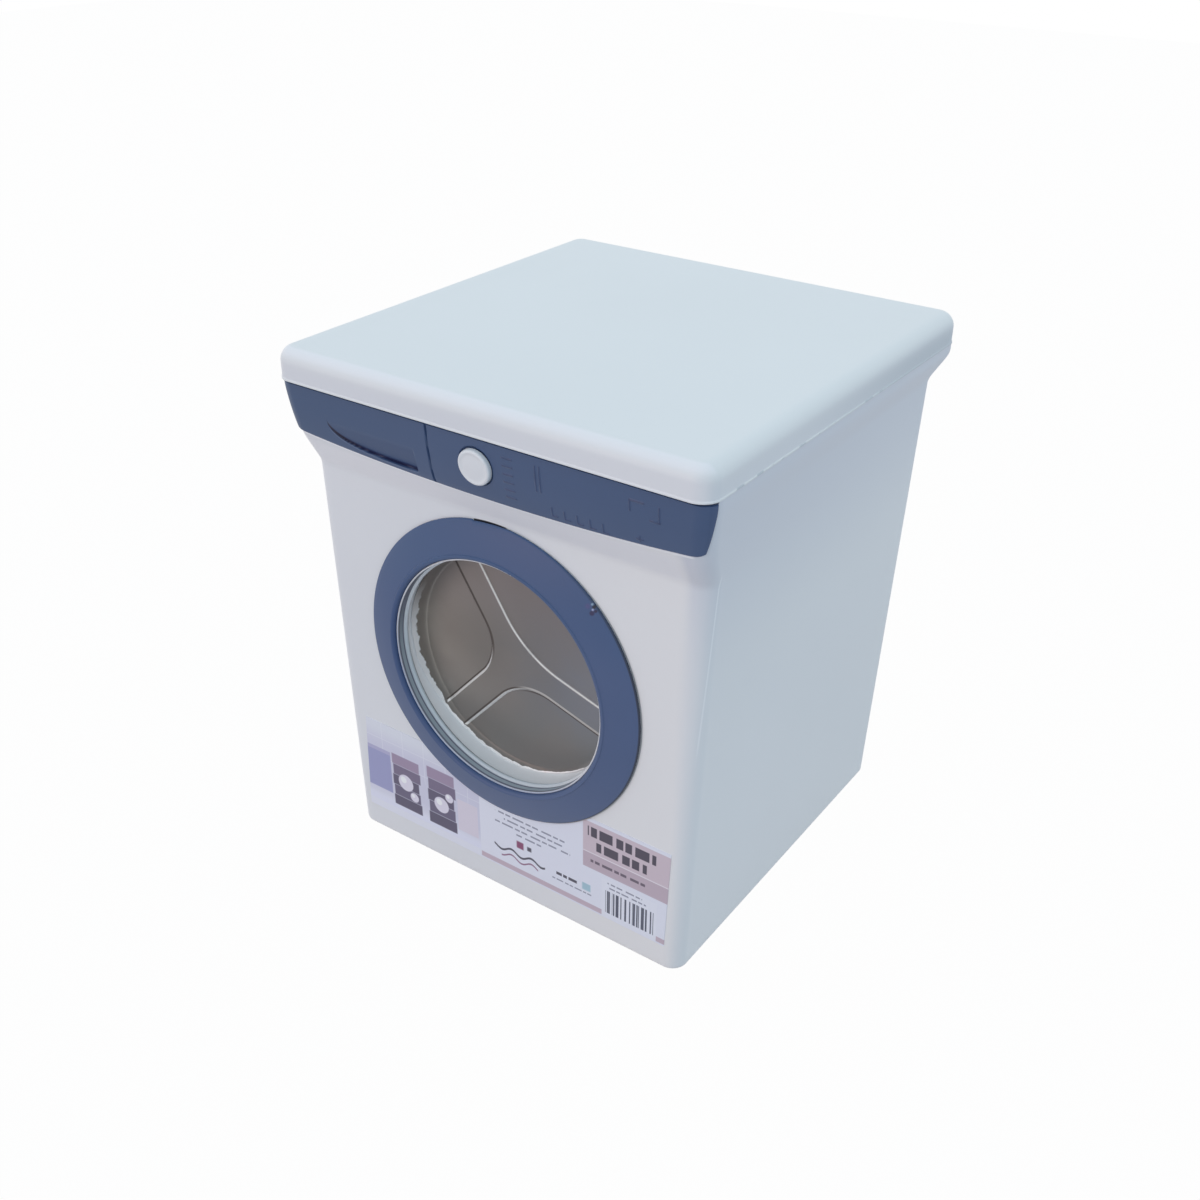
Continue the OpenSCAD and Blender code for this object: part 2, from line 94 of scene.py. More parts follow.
def back_at(z):
    """Distance of the back from the middle: a drafted wall, the flare, then an upright lip."""
    return (
        BASE_D
        + WALL_SLOPE * z
        + (FLARE_SLOPE - WALL_SLOPE) * soft_ramp(z - FLARE)
        - FLARE_SLOPE * soft_ramp(z - LIP)
    )


def strip_low(x):
    """Height of the strip's lower edge at x: an arch, then a rounded corner."""
    across = np.minimum(np.abs(x), CORNER_X)
    over = np.clip(np.abs(x) - CORNER_X, 0, STRIP_CORNER)
    arch = ARCH_R - np.sqrt(ARCH_R**2 - across**2)
    return STRIP_FOOT + arch + STRIP_CORNER - np.sqrt(STRIP_CORNER**2 - over**2)


def strip_end(front):
    """Angle round the collar's corner at which the strip ends, where the front is this far out."""
    return np.arccos(np.clip((-STRIP_END - (front - CORNER)) / (CORNER + STRIP_PROUD), -1, 1))


# Meshes from grids of points
def grid_faces(rows, cols, wrap):
    """Quads between neighbouring points of a grid, closed along its columns if wrap is set."""
    i = np.arange(rows - 1)[:, None]
    j = np.arange(cols if wrap else cols - 1)[None, :]
    a = i * cols + j
    b = i * cols + (j + 1) % cols
    return np.stack([a, b, b + cols, a + cols], -1).reshape(-1, 4)


def weld(mesh):
    """Joins points that coincide, so that the grids of a piece close on each other and at their poles."""
    work = bmesh.new()
    work.from_mesh(mesh)
    bmesh.ops.remove_doubles(work, verts=work.verts, dist=2e-6)
    work.to_mesh(mesh)
    work.free()


CREASE = 35.0


def piece(name, grids, material, body, replaces):
    """One object from grids (points in mm as rows, columns, xyz; wrap; flip), smooth but for its creases."""
    verts, faces, base = [], [], 0
    for points, wrap, flip in grids:
        rows, cols = points.shape[:2]
        quads = grid_faces(rows, cols, wrap) + base
        faces.append(quads[:, ::-1] if flip else quads)
        verts.append(points.reshape(-1, 3) * MM)
        base += rows * cols
    mesh = bpy.data.meshes.new(name)
    mesh.from_pydata(np.concatenate(verts).tolist(), [], np.concatenate(faces).tolist())
    weld(mesh)
    mesh.polygons.foreach_set("use_smooth", np.ones(len(mesh.polygons), dtype=bool))
    mesh.set_sharp_from_angle(angle=float(np.radians(CREASE)))
    mesh.materials.append(material)
    obj = bpy.data.objects.new(name, mesh)
    bpy.context.scene.collection.objects.link(obj)
    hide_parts(*replaces)
    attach(obj, body)


# Rounded rectangular sections
SUPPORT, CORNER_STEPS = 0.006, 16
FLAT = np.array([SUPPORT, 0.06, 0.2, 0.35, 0.5, 0.65, 0.8, 0.94, 1 - SUPPORT])
FRONT_FLAT = np.linspace(SUPPORT, 1 - SUPPORT, 61)


def columns(closed):
    """Weights of each point round a section: on side, front and back distances, and its outward direction.
    They start at the front's right end; a closed section has the flat of the front too."""
    out = []

    def corner(x, f, b, start):
        for a in np.radians(start + np.linspace(0, 90, CORNER_STEPS + 1)):
            out.append((x, f, b, np.cos(a), np.sin(a)))

    if closed:
        out += [(2 * t - 1, 1, 0, 0, -1) for t in FRONT_FLAT]
    else:
        out.append((1 - 2 * SUPPORT, 1, 0, 0, -1))
    corner(1, 1, 0, -90)
    out += [(1, 1 - t, t, 1, 0) for t in FLAT]
    corner(1, 0, 1, 0)
    out += [(1 - 2 * t, 0, 1, 0, 1) for t in FLAT]
    corner(-1, 0, 1, 90)
    out += [(-1, t, 1 - t, -1, 0) for t in FLAT]
    corner(-1, 1, 0, 180)
    if not closed:
        out.append((2 * SUPPORT - 1, 1, 0, 0, -1))
    return np.array(out).T


CLOSED, OPEN = columns(True), columns(False)


def section(cols, side, front, back, r, z):
    """Points of rounded rectangles: each corner's centre plus its radius along the outward direction."""
    x, f, b, nx, ny = cols
    px = x * (side - r) + r * nx
    py = -f * (front - r) + b * (back - r) + r * ny
    return np.stack(np.broadcast_arrays(px, py, z), -1)


def skin(cols, z, d=0.0, cove=COVE_SLOPE):
    """The tub's surface at heights z, moved inwards by d."""
    z = np.asarray(z, float)
    if z.ndim == 1:
        z = z[:, None]
    r = CORNER - np.minimum(d, CORNER - 1)
    return section(cols, side_at(z, cols[2]) - d, front_at(z, cove) - d, back_at(z) - d, r, z)


def pane_outline(rows, d=0.0):
    """Points round the flat front, from its lower right: up the wall rows, along the columns, and back."""

    def x_at(z):
        return (side_at(z) - CORNER) * (1 - 2 * SUPPORT)

    across = 2 * FRONT_FLAT - 1
    low, high = rows[0], rows[-1]
    x = np.concatenate([x_at(rows), ((side_at(high) - CORNER) * across)[-2::-1]])
    x = np.concatenate([x, -x_at(rows)[-2::-1], ((side_at(low) - CORNER) * across)[1:-1]])
    z = np.concatenate([rows, np.full(len(across) - 1, high), rows[-2::-1], np.full(len(across) - 2, low)])
    return np.stack([x, -(front_at(z) - d), z], -1)


def pane(outline, hole, d=0.0):
    """The flat front with a round hole: straight lines from the hole's edge to the outline's points."""
    away = outline[:, [0, 2]] - [0, DOOR_Z]
    ray = away / np.linalg.norm(away, axis=1)[:, None]
    x, z = hole * ray[:, 0], DOOR_Z + hole * ray[:, 1]
    inner = np.stack([x, -(front_at(z) - d), z], -1)
    share = np.array([0, 0.03, 0.1, 0.25, 0.5, 0.75, 1])[:, None, None]
    return inner + (outline - inner) * share


# Turned pieces on the front
def face_frame(z, slope):
    """Origin, right, up and outward directions of a place on the front whose face leans by slope."""
    n = np.hypot(1, slope)
    return (
        np.array([0.0, -float(front_at(np.array(z))), z]),
        np.array([1.0, 0, 0]),
        np.array([0, -slope, 1.0]) / n,
        np.array([0, -1.0, -slope]) / n,
    )


DOOR = face_frame(DOOR_Z, WALL_SLOPE)
KNOB = face_frame(KNOB_Z, KNOB_SLOPE)


def place(at, u, v, h):
    """Points u to the right, v up and h out of a place on the front."""
    o, right, up, out = at
    return o + u[..., None] * right + v[..., None] * up + h[..., None] * out


def turned(at, profile, angles):
    """A surface of revolution: a profile of (radius, height) turned about a place's outward direction."""
    profile = np.asarray(profile, float)
    a = np.linspace(0, 2 * np.pi, angles, endpoint=False) if np.ndim(angles) == 0 else angles
    r = profile[:, :1]
    h = np.broadcast_to(profile[:, 1:], (len(profile), len(a)))
    return place(at, r * np.cos(a), r * np.sin(a), h)


def bend(x, y, r, a0, a1, steps):
    """Profile points on an arc about x, y with radius r, between two angles."""
    a = np.radians(np.linspace(a0, a1, steps))
    return np.stack([x + r * np.cos(a), y + r * np.sin(a)], -1)


# Shader building
GRAIN_DEPTH = 0.0002


class Sock:
    """A shader socket with arithmetic: each operator adds a Math node and gives its output."""

    def __init__(self, mat, socket):
        self.mat, self.socket = mat, socket

    def _op(self, kind, *others):
        return self.mat.add("ShaderNodeMath", (self,) + others, operation=kind)

    def __add__(self, o):
        return self._op("ADD", o)

    __radd__ = __add__

    def __sub__(self, o):
        return self._op("SUBTRACT", o)

    def __rsub__(self, o):
        return (self * -1.0)._op("ADD", o)

    def __mul__(self, o):
        return self._op("MULTIPLY", o)

    __rmul__ = __mul__

    def __truediv__(self, o):
        return self._op("DIVIDE", o)

    def abs(self):
        return self._op("ABSOLUTE")

    def max(self, o):
        return self._op("MAXIMUM", o)

    def min(self, o):
        return self._op("MINIMUM", o)

    def sqrt(self):
        return self._op("SQRT")

    def sin(self):
        return self._op("SINE")

    def atan2(self, o):
        return self._op("ARCTAN2", o)

    def mod(self, o):
        return self._op("FLOORED_MODULO", o)

    def over(self, a, b):
        """0 at a and 1 at b, smooth between."""
        ends = {"Value": self, "From Min": a, "From Max": b}
        return self.mat.add("ShaderNodeMapRange", ends, interpolation_type="SMOOTHSTEP")

    def under(self, a, b):
        """1 at a and 0 at b, smooth between."""
        return 1.0 - self.over(a, b)

    def between(self, a, b, c, d):
        """1 from b to c, and 0 below a and above d."""
        return self.over(a, b) * self.under(c, d)


class Mat:
    """A material with object coordinates in millimetres as x, y and z."""

    def __init__(self, name, roughness=0.4, **constants):
        self.material = bpy.data.materials.new(name)
        self.material.use_nodes = True
        self.tree = self.material.node_tree
        self.bsdf = self.tree.nodes["Principled BSDF"]
        self.bsdf.inputs["Roughness"].default_value = roughness
        for key, value in constants.items():
            self.bsdf.inputs[key.replace("_", " ")].default_value = value
        coord = self.tree.nodes.new("ShaderNodeTexCoord")
        self.coord = Sock(self, coord.outputs["Object"])
        split = self.tree.nodes.new("ShaderNodeSeparateXYZ")
        self.tree.links.new(coord.outputs["Object"], split.inputs[0])
        self.x, self.y, self.z = (Sock(self, o) * 1000.0 for o in split.outputs)

    def add(self, kind, inputs, output=0, **props):
        """Adds a node, sets its properties, links or sets its inputs, and gives one output."""
        node = self.tree.nodes.new(kind)
        for key, value in props.items():
            setattr(node, key, value)
        for key, value in inputs.items() if isinstance(inputs, dict) else enumerate(inputs):
            if isinstance(value, Sock):
                self.tree.links.new(value.socket, node.inputs[key])
            else:
                node.inputs[key].default_value = value
        return Sock(self, node.outputs[output])

    def mix(self, factor, a, b):
        """Colour a where factor is 0 and b where it is 1."""
        return self.add("ShaderNodeMix", {0: factor, 6: a, 7: b}, output=2, data_type="RGBA")

    def noise(self, scale, detail=2.0):
        """Noise from 0 to 1 with features of about 1/scale metres."""
        values = {"Vector": self.coord, "Scale": scale, "Detail": detail}
        return self.add("ShaderNodeTexNoise", values)

    def rect(self, x0, x1, z0, z1, soft=0.25):
        """1 inside a rectangle of x and z, 0 outside."""
        across = self.x.between(x0 - soft, x0 + soft, x1 - soft, x1 + soft)
        return across * self.z.between(z0 - soft, z0 + soft, z1 - soft, z1 + soft)

    def disc(self, x, z, r, soft=0.25):
        """1 inside a circle in x and z."""
        dx, dz = self.x - x, self.z - z
        return 1.0 - (dx * dx + dz * dz).sqrt().over(r - soft, r + soft)

    def finish(self, color, bump=None, strength=0.0):
        """Links a colour and a bump height to the surface."""
        link = self.tree.links.new
        if isinstance(color, Sock):
            link(color.socket, self.bsdf.inputs["Base Color"])
        else:
            self.bsdf.inputs["Base Color"].default_value = color
        if bump is not None:
            values = {"Strength": strength, "Distance": GRAIN_DEPTH, "Height": bump}
            link(self.add("ShaderNodeBump", values).socket, self.bsdf.inputs["Normal"])
        return self.material


def linear(r, g, b):
    """A display colour of 0 to 255 as a linear one."""
    c = np.array([r, g, b]) / 255.0
    return np.where(c <= 0.04045, c / 12.92, ((c + 0.055) / 1.055) ** 2.4)


FRONT_LIGHT = np.array([0.745, 0.755, 0.785])
SHEEN = 0.04


def paint(r, g, b, sheen=0.0):
    """Base colour that shows as this display colour on the lit front, less what the gloss adds."""
    return tuple(np.clip((linear(r, g, b) - sheen) / FRONT_LIGHT, 0.004, 0.95)) + (1.0,)


# The strip's finger scoop, drawer groove, dial dish and raised marks
SCOOP_TIP, SCOOP_W, SCOOP_LOW, SCOOP_H, SCOOP_DEPTH = 78.9, 47.1, 207.3, 11.0, 1.6
GROOVE_X, GROOVE_DEPTH, DISH_DEPTH = -23.9, 0.8, 0.9
MARK_W, MARK_H, MARK_REACH = 0.6, 0.3, 0.35
# Raised marks: x and z of each stroke's ends
MARKS = [(13.5, 226.5 - 3.4 * k, 18.0, 226.5 - 3.4 * k) for k in range(6)]
MARKS += [(29.0, 216.5, 29.0, 227.0), (31.0, 216.5, 31.0, 227.0)]
for k in range(5):
    MARKS += [(35.0 + 5.8 * k, 207.4, 35.0 + 5.8 * k, 210.8), (35.0 + 5.8 * k, 207.4, 37.2 + 5.8 * k, 207.4)]
MARKS += [(71.0, 225.4, 77.0, 225.4), (71.0, 225.4, 71.0, 221.0)]
MARKS += [(79.5, 219.2, 83.5, 219.2), (83.5, 219.2, 83.5, 225.4)]
MARKS += [(73.0, 209.6, 75.6, 209.6), (74.3, 208.6, 74.3, 210.8)]
# Spots of the chip in the ring: x, z, radius, display colour
CHIPS = ((48.9, 167.2, 1.0, (34, 36, 72)), (49.3, 169.7, 0.75, (22, 30, 48)))
CHIPS += ((48.4, 170.6, 0.45, (122, 144, 166)), (49.0, 168.6, 0.4, (146, 152, 186)))
CHIPS += ((50.2, 168.2, 0.6, (30, 30, 62)),)

# Tones of the white plastic and of its painted light and shade, as linear colours
TUB_TONE, TUB_SIDE_SHADE = (0.80, 0.805, 0.81, 1.0), (0.675, 0.69, 0.735, 1.0)
TUB_WARM_LIGHT, TUB_COVE_LIGHT = (0.87, 0.85, 0.83, 1.0), (0.875, 0.87, 0.875, 1.0)
LIP_SHADE, LIP_BAND_SHADE = (0.15, 0.16, 0.21, 1.0), (0.36, 0.42, 0.46, 1.0)
LIP_CREST_HIGHLIGHT, BEAD_SHADE = (0.40, 0.45, 0.58, 1.0), (0.50, 0.57, 0.61, 1.0)
RING_GAP_SHADE, BEAD_GAP_SHADE, LID_GAP_SHADE = (0.012, 0.014, 0.02, 1.0), (0.08, 0.09, 0.12, 1.0), (0.06, 0.065, 0.10, 1.0)
BRIGHT = (0.95, 0.95, 0.95, 1.0)
LID_TONE, LID_SKIRT_SHADE = (0.785, 0.795, 0.79, 1.0), (0.745, 0.755, 0.775, 1.0)
LID_EDGE_HIGHLIGHT, LID_NEAR_LIGHT = (0.845, 0.84, 0.855, 1.0), (0.80, 0.80, 0.81, 1.0)
LID_FAR_SHADE, LID_SEAM_SHADE = (0.55, 0.59, 0.625, 1.0), (0.56, 0.59, 0.62, 1.0)
KNOB_TONE = (0.82, 0.83, 0.835, 1.0)
BLACK = (0.0, 0.0, 0.0, 1.0)

# Tones of the blue plastic and of its painted shade and highlights, as display colours
STRIP_TONE, STRIP_LEFT_SHADE, MARK_SHADE = (77, 91, 119), (71, 86, 113), (52, 62, 88)
SCOOP_SHADE, SCOOP_DEEP_SHADE, SCOOP_POINT_SHADE, SCOOP_SILL_HIGHLIGHT = (64, 78, 108), (40, 47, 78), (30, 38, 70), (104, 116, 146)
RING_TONE, RING_LEFT_SHADE, RING_TOP_SHADE, RING_EDGE_SHADE = (84, 97, 127), (72, 87, 120), (76, 92, 123), (26, 30, 42)
CHIP_PATCH = (70, 66, 112)


# Materials
def white_plastic(name, base):
    """White plastic with faint clouding; gives its tone and grain for more detail."""
    m = Mat(name, roughness=0.42)
    cloud = m.noise(9.0, 3.0)
    tone = m.mix(cloud.over(0.3, 0.7), tuple(0.985 * c for c in base[:3]) + (1.0,), base)
    return m, tone, m.noise(420.0, 2.0)


def make_tub_material():
    """White plastic with painted light and shade: shade high on the right side, warm light on the front and
    in the cove, shadows in the gaps round the ring, well and lid, shade and highlights in the well,
    highlights below and beside the strip, and a light hairline down the right corner.
    """
    m, tone, grain = white_plastic("tub_white", TUB_TONE)
    # Painted shade high on the right side, under the lid
    tone = m.mix(m.x.over(88.0, 93.0) * m.z.over(140.0, 225.0), tone, TUB_SIDE_SHADE)
    face = m.y.under(-92.4, -90.0)
    # Painted warm light on the front, and painted light in the cove
    warm_light = m.x.between(-30.0, 80.0, 86.0, 93.0) * face
    tone = m.mix(warm_light * 0.8, tone, TUB_WARM_LIGHT)
    cove = m.z.between(191.0, 195.0, 203.0, 207.0) * m.x.under(86.0, 93.0) * face
    tone = m.mix(cove * 0.8, tone, TUB_COVE_LIGHT)
    dz = m.z - DOOR_Z
    r = (m.x * m.x + dz * dz).sqrt()
    a = dz.atan2(m.x) * (180 / np.pi)
    out = -BASE_D - m.y - m.z * WALL_SLOPE
    # Painted shadow in the slot under the ring's notch, and a thin painted shadow at its right
    slot = a.between(84.5, 86.0, 98.6, 99.2)
    slot = slot * r.between(RING_R - 3.4, RING_R - 2.4, RING_R - 0.1, RING_R + 0.2)
    tone = m.mix(slot * out.over(-0.6, -0.2), tone, RING_GAP_SHADE)
    right = (m.x - dz * 0.4).over(0.0, 50.0)
    ring_shadow = r.between(RING_R - 0.2, RING_R, RING_R + 0.1, RING_R + 0.8) * right * out.over(-0.6, -0.2)
    tone = m.mix(ring_shadow * 0.5, tone, RING_GAP_SHADE)
    # The well, in painted light and shade: shade on the lip's inner side, lighter in a band at the lower
    # left, a highlight on its crest, shade on the bead, light on the wall, and shadow in the gap between
    # them
    lip = r.between(54.02, 54.08, 54.22, 54.28)
    lip = lip * out.between(0.3, 0.6, 3.8, 4.1)
    low_left = (m.x * 0.5 + dz).under(-40.0, 5.0)
    band = out.between(1.1, 1.4, 2.8, 3.1) * low_left
    tone = m.mix(lip, tone, m.mix(band, LIP_SHADE, LIP_BAND_SHADE))
    crest = r.between(54.0, 54.1, 54.9, 55.0) * out.over(4.1, 4.2) * low_left
    tone = m.mix(crest * 0.8, tone, LIP_CREST_HIGHLIGHT)
    bead = (out + 0.7).abs().under(0.9, 1.2) * r.under(54.2, 54.3) * low_left
    tone = m.mix(bead * 0.8, tone, BEAD_SHADE)
    deep = out.between(-14.0, -13.5, -2.6, -2.2)
    bright = r.between(53.9, 54.2, 54.5, 54.6) * deep
    tone = m.mix(bright, tone, BRIGHT)
    gap = (out + 2.2).abs().under(0.25, 0.55) * r.under(54.5, 54.6)
    tone = m.mix(gap * 0.9, tone, BEAD_GAP_SHADE)
    # Painted shadow in the gap under the lid; painted highlights below the strip and beside it, and a light
    # hairline down the right corner
    seam = m.z.between(231.0, 231.2, 231.92, 231.96)
    tone = m.mix(seam * m.y.under(-99.4, -98.9), tone, LID_GAP_SHADE)
    below = m.x * m.x / (2 * ARCH_R) + STRIP_FOOT - m.z
    line = below.between(0.3, 0.5, 1.1, 1.5) * m.x.abs().under(95.0, 97.0) * face
    beside = (m.y + 99.4).abs().under(0.2, 0.4) * m.z.over(212.0, 216.0)
    beside = beside * m.z.under(230.0, 231.0) * m.x.abs().over(99.0, 101.0)
    corner = (m.y + 90.2 - dz * 0.032).abs().under(0.15, 0.4) * m.z.over(110.0, 125.0)
    corner = corner * m.z.under(194.0, 198.0) * m.x.over(90.0, 92.0) * 0.6
    tone = m.mix(line.max(beside).max(corner) * 0.9, tone, BRIGHT)
    return m.finish(tone, grain, 0.05)


def make_lid_material():
    """White plastic with painted light and shade: shade on the skirt, a highlight along the front edge,
    light on the near front, shade on the far side, and patchy shade along the seam at the right.
    """
    m, tone, grain = white_plastic("lid_white", LID_TONE)
    # Painted shade on the skirt
    shade = m.z.under(236.0, 244.0) * m.z.over(232.9, 233.2)
    tone = m.mix(shade, tone, LID_SKIRT_SHADE)
    # Painted highlight along the front's top edge
    edge = m.z.between(241.5, 244.0, 245.3, 245.9) * m.y.under(-101.5, -99.5)
    tone = m.mix(edge * 0.8, tone, LID_EDGE_HIGHLIGHT)
    # Painted light on the near front
    near = m.x.over(-20.0, 90.0) * m.y.under(-105.0, -102.0) * m.z.under(238.0, 244.0)
    tone = m.mix(near * 0.8, tone, LID_NEAR_LIGHT)
    # Painted shade on the far side
    far = m.x.over(98.0, 103.0) * m.y.over(-60.0, 90.0) * m.z.under(236.0, 244.0)
    tone = m.mix(far * 0.9, tone, LID_FAR_SHADE)
    # Patchy painted shade along the seam at the right
    hem = m.x.over(103.5, 104.4) * m.z.under(232.9, 233.2)
    patchy = m.noise(130.0, 2.0).over(0.46, 0.56).max(m.y.over(20.0, 60.0))
    tone = m.mix(hem * patchy, tone, LID_SEAM_SHADE)
    return m.finish(tone, grain, 0.05)


def blue_plastic(name, base):
    """Slate blue plastic with faint clouding; gives its tone and grain for more detail."""
    m = Mat(name, roughness=0.46)
    cloud = m.noise(26.0, 3.0)
    tone = m.mix(cloud.over(0.3, 0.7), tuple(0.95 * c for c in base[:3]) + (1.0,), base)
    return m, tone, m.noise(500.0, 2.0)


def make_strip_material():
    """The strip with painted shade: darker at the left, in the finger scoop towards its curved lower edge
    and at its point, with a painted highlight on the sill below, and on its raised marks.
    """
    m, tone, grain = blue_plastic("strip_blue", paint(*STRIP_TONE, SHEEN))
    # Painted shade, darker towards the left
    tone = m.mix(m.x.under(-90.0, -20.0) * 0.7, tone, paint(*STRIP_LEFT_SHADE, SHEEN))
    # Painted shade in the finger scoop, deepest along its curved lower edge and at its point, and a painted
    # highlight on the sill below
    s = ((m.x + SCOOP_TIP) / SCOOP_W).max(0.0).min(1.0).sqrt()
    rise = (1.0 - s) * (1.0 - s) * SCOOP_H
    above = m.z - SCOOP_LOW - rise
    far_end = SCOOP_W - SCOOP_TIP
    inside = m.x.between(-SCOOP_TIP, 0.6 - SCOOP_TIP, far_end - 0.4, far_end)
    inside = inside * m.z.under(SCOOP_LOW + SCOOP_H - 2.5, SCOOP_LOW + SCOOP_H)
    tone = m.mix(inside * above.over(0.0, 0.3) * 0.6, tone, paint(*SCOOP_SHADE, SHEEN))
    deep = above.between(-0.1, 0.15, 0.5, 2.2)
    tone = m.mix(inside * deep * 0.85, tone, paint(*SCOOP_DEEP_SHADE, SHEEN))
    tip = s.under(0.3, 0.7) * above.between(-0.2, 0.1, 0.7, 2.0)
    tone = m.mix(tip * m.x.over(-SCOOP_TIP - 0.2, -SCOOP_TIP + 0.4) * 0.9, tone, paint(*SCOOP_POINT_SHADE, SHEEN))
    sill = above.between(-0.9, -0.6, -0.3, -0.1) * inside
    tone = m.mix(sill * 0.35, tone, paint(*SCOOP_SILL_HIGHLIGHT))
    # Painted shade on the raised marks
    for x0, z0, x1, z1 in MARKS:
        left, low = min(x0, x1), min(z0, z1)
        right, high = max(x0, x1), max(z0, z1)
        painted_shading = m.rect(left - MARK_REACH, right + MARK_REACH, low - MARK_REACH, high + MARK_REACH, 0.2)
        tone = m.mix(painted_shading * 0.4, tone, paint(*MARK_SHADE, SHEEN))
    return m.finish(tone, grain, 0.08)


def make_ring_material():
    """The ring with painted shade at the left, at the top and along its outer edge, and a chip in that edge
    at the upper right.
    """
    m, tone, grain = blue_plastic("ring_blue", paint(*RING_TONE, SHEEN))
    # Painted shade, darker at the left and at the top
    tone = m.mix(m.x.under(-60.0, 30.0) * 0.9, tone, paint(*RING_LEFT_SHADE, SHEEN))
    dz = m.z - DOOR_Z
    tone = m.mix(dz.over(18.0, 50.0), tone, paint(*RING_TOP_SHADE, SHEEN))
    r = (m.x * m.x + dz * dz).sqrt()
    # Painted shade along the outer edge at the right
    rim = r.over(RING_R - 0.7, RING_R - 0.25) * (m.x - dz * 0.5).over(-20.0, 60.0)
    tone = m.mix(rim * 0.75, tone, paint(*RING_EDGE_SHADE, SHEEN))
    # A darker patch round the chip, and the chip's dark and light spots
    tone = m.mix(m.disc(46.9, 169.6, 1.0, 0.6) * 0.6, tone, paint(*CHIP_PATCH))
    for x, z, size, rgb in CHIPS:
        tone = m.mix(m.disc(x, z, size, 0.3), tone, paint(*rgb))
    return m.finish(tone, grain, 0.08)


def make_knob_material():
    """Plain white plastic, a little brighter than the tub's."""
    m, tone, grain = white_plastic("knob_white", KNOB_TONE)
    return m.finish(tone, grain, 0.04)


# Lobes of the drum face: first and last angle in degrees, radius of the inner corner
LOBES = ((122.0, 228.0, 22.0), (228.0, 343.0, 25.0), (343.0, 482.0, 50.0))
ARM_HALF = 6.7
LINE_LIGHT_SHADE = {"bright": paint(215, 215, 215), "dark": paint(62, 55, 52), "pale": paint(160, 158, 157)}
# Lines along each lobe's edge: its end (-1 first, 1 last), distance from the edge, half width, and its
# painted tone (bright and pale highlights, dark shade)
LOBE_LINES = (
    ((-1, 0.6, 1.1, "dark"), (1, -0.9, 0.35, "dark"), (1, 0.0, 0.5, "bright")),
    ((-1, 1.0, 0.4, "dark"), (-1, 0.0, 0.5, "bright"), (1, -1.1, 0.3, "dark"), (1, 0.6, 1.0, "pale")),
    ((-1, 0.0, 0.22, "bright"), (1, 0.0, 0.22, "bright")),
)


def lobe_frame(a0, a1, r):
    """Bisector angle, half angle and corner distance of a lobe between two arms."""
    half = np.radians((a1 - a0) / 2)
    return np.radians((a0 + a1) / 2), half, (ARM_HALF + r) / np.sin(half)


def make_drum_material():
    """Taupe metallised sheet in painted light and shade, with painted highlights and shade along each lobe's
    edge; the edge is a line at zero distance from a rounded wedge.
    """
    m = Mat("drum_taupe", roughness=0.42, Metallic=0.25)
    dz = m.z - DOOR_Z
    reach = (m.x * m.x + dz * dz).sqrt()
    # Painted light and shade: lighter at the left, which the well shades, cooler at the right, browner at
    # the top, and darker towards the middle and left of it
    tone = m.mix(m.x.over(-50.0, 40.0), paint(148, 141, 134), paint(109, 112, 121))
    tone = m.mix(dz.over(0.0, 40.0) * 0.8, tone, paint(108, 101, 102))
    tone = m.mix(dz.under(-40.0, -5.0) * 0.8, tone, paint(101, 102, 101))
    tone = m.mix(reach.under(5.0, 50.0) * 0.36, tone, BLACK)
    tone = m.mix(m.disc(-25.0, DOOR_Z + 2.0, 18.0, 15.0) * 0.32, tone, BLACK)
    tone = m.mix(m.noise(40.0, 2.0).over(0.35, 0.7) * 0.4, tone, paint(108, 102, 99))
    # Painted shade on the turned-up edge at the lower left
    curl = reach.over(51.0, 53.0) * (m.x + dz).under(-40.0, 20.0)
    tone = m.mix(curl * 0.4, tone, paint(88, 84, 82))
    # Painted highlights and shade along each lobe's edge
    for lobe, lines in zip(LOBES, LOBE_LINES):
        mid, half, corner = lobe_frame(*lobe)
        u = m.x * float(np.cos(mid)) + dz * float(np.sin(mid)) - float(corner)
        v = dz * float(np.cos(mid)) - m.x * float(np.sin(mid))
        w = v.abs()
        along = u * float(np.cos(half)) + w * float(np.sin(half))
        off = w * float(np.cos(half)) - u * float(np.sin(half))
        inside = along.over(-0.01, 0.01)
        d = off * inside + (u * u + w * w).sqrt() * (1.0 - inside) - lobe[2]
        for end, at, width, painted_shading in lines:
            part = v.over(-6.0, 6.0) if end > 0 else v.under(-6.0, 6.0)
            line = (d - at).abs().under(width - 0.2, width + 0.2) * part
            line = line * reach.under(52.8, 53.2)
            tone = m.mix(line, tone, LINE_LIGHT_SHADE[painted_shading])
    # Painted light along the frayed edge at the lower left, beside the wall's painted light
    frayed = (reach + (m.noise(260.0, 2.0) - 0.5) * 0.9).over(53.2, 53.35)
    frayed = frayed * (m.x * 0.6 + dz).under(-34.0, 4.0)
    tone = m.mix(frayed, tone, paint(236, 240, 240))
    return m.finish(tone, m.noise(150.0, 2.0), 0.05)


INK, GREY, TITLE_INK = (62, 60, 76), (128, 130, 146), (62, 56, 72)
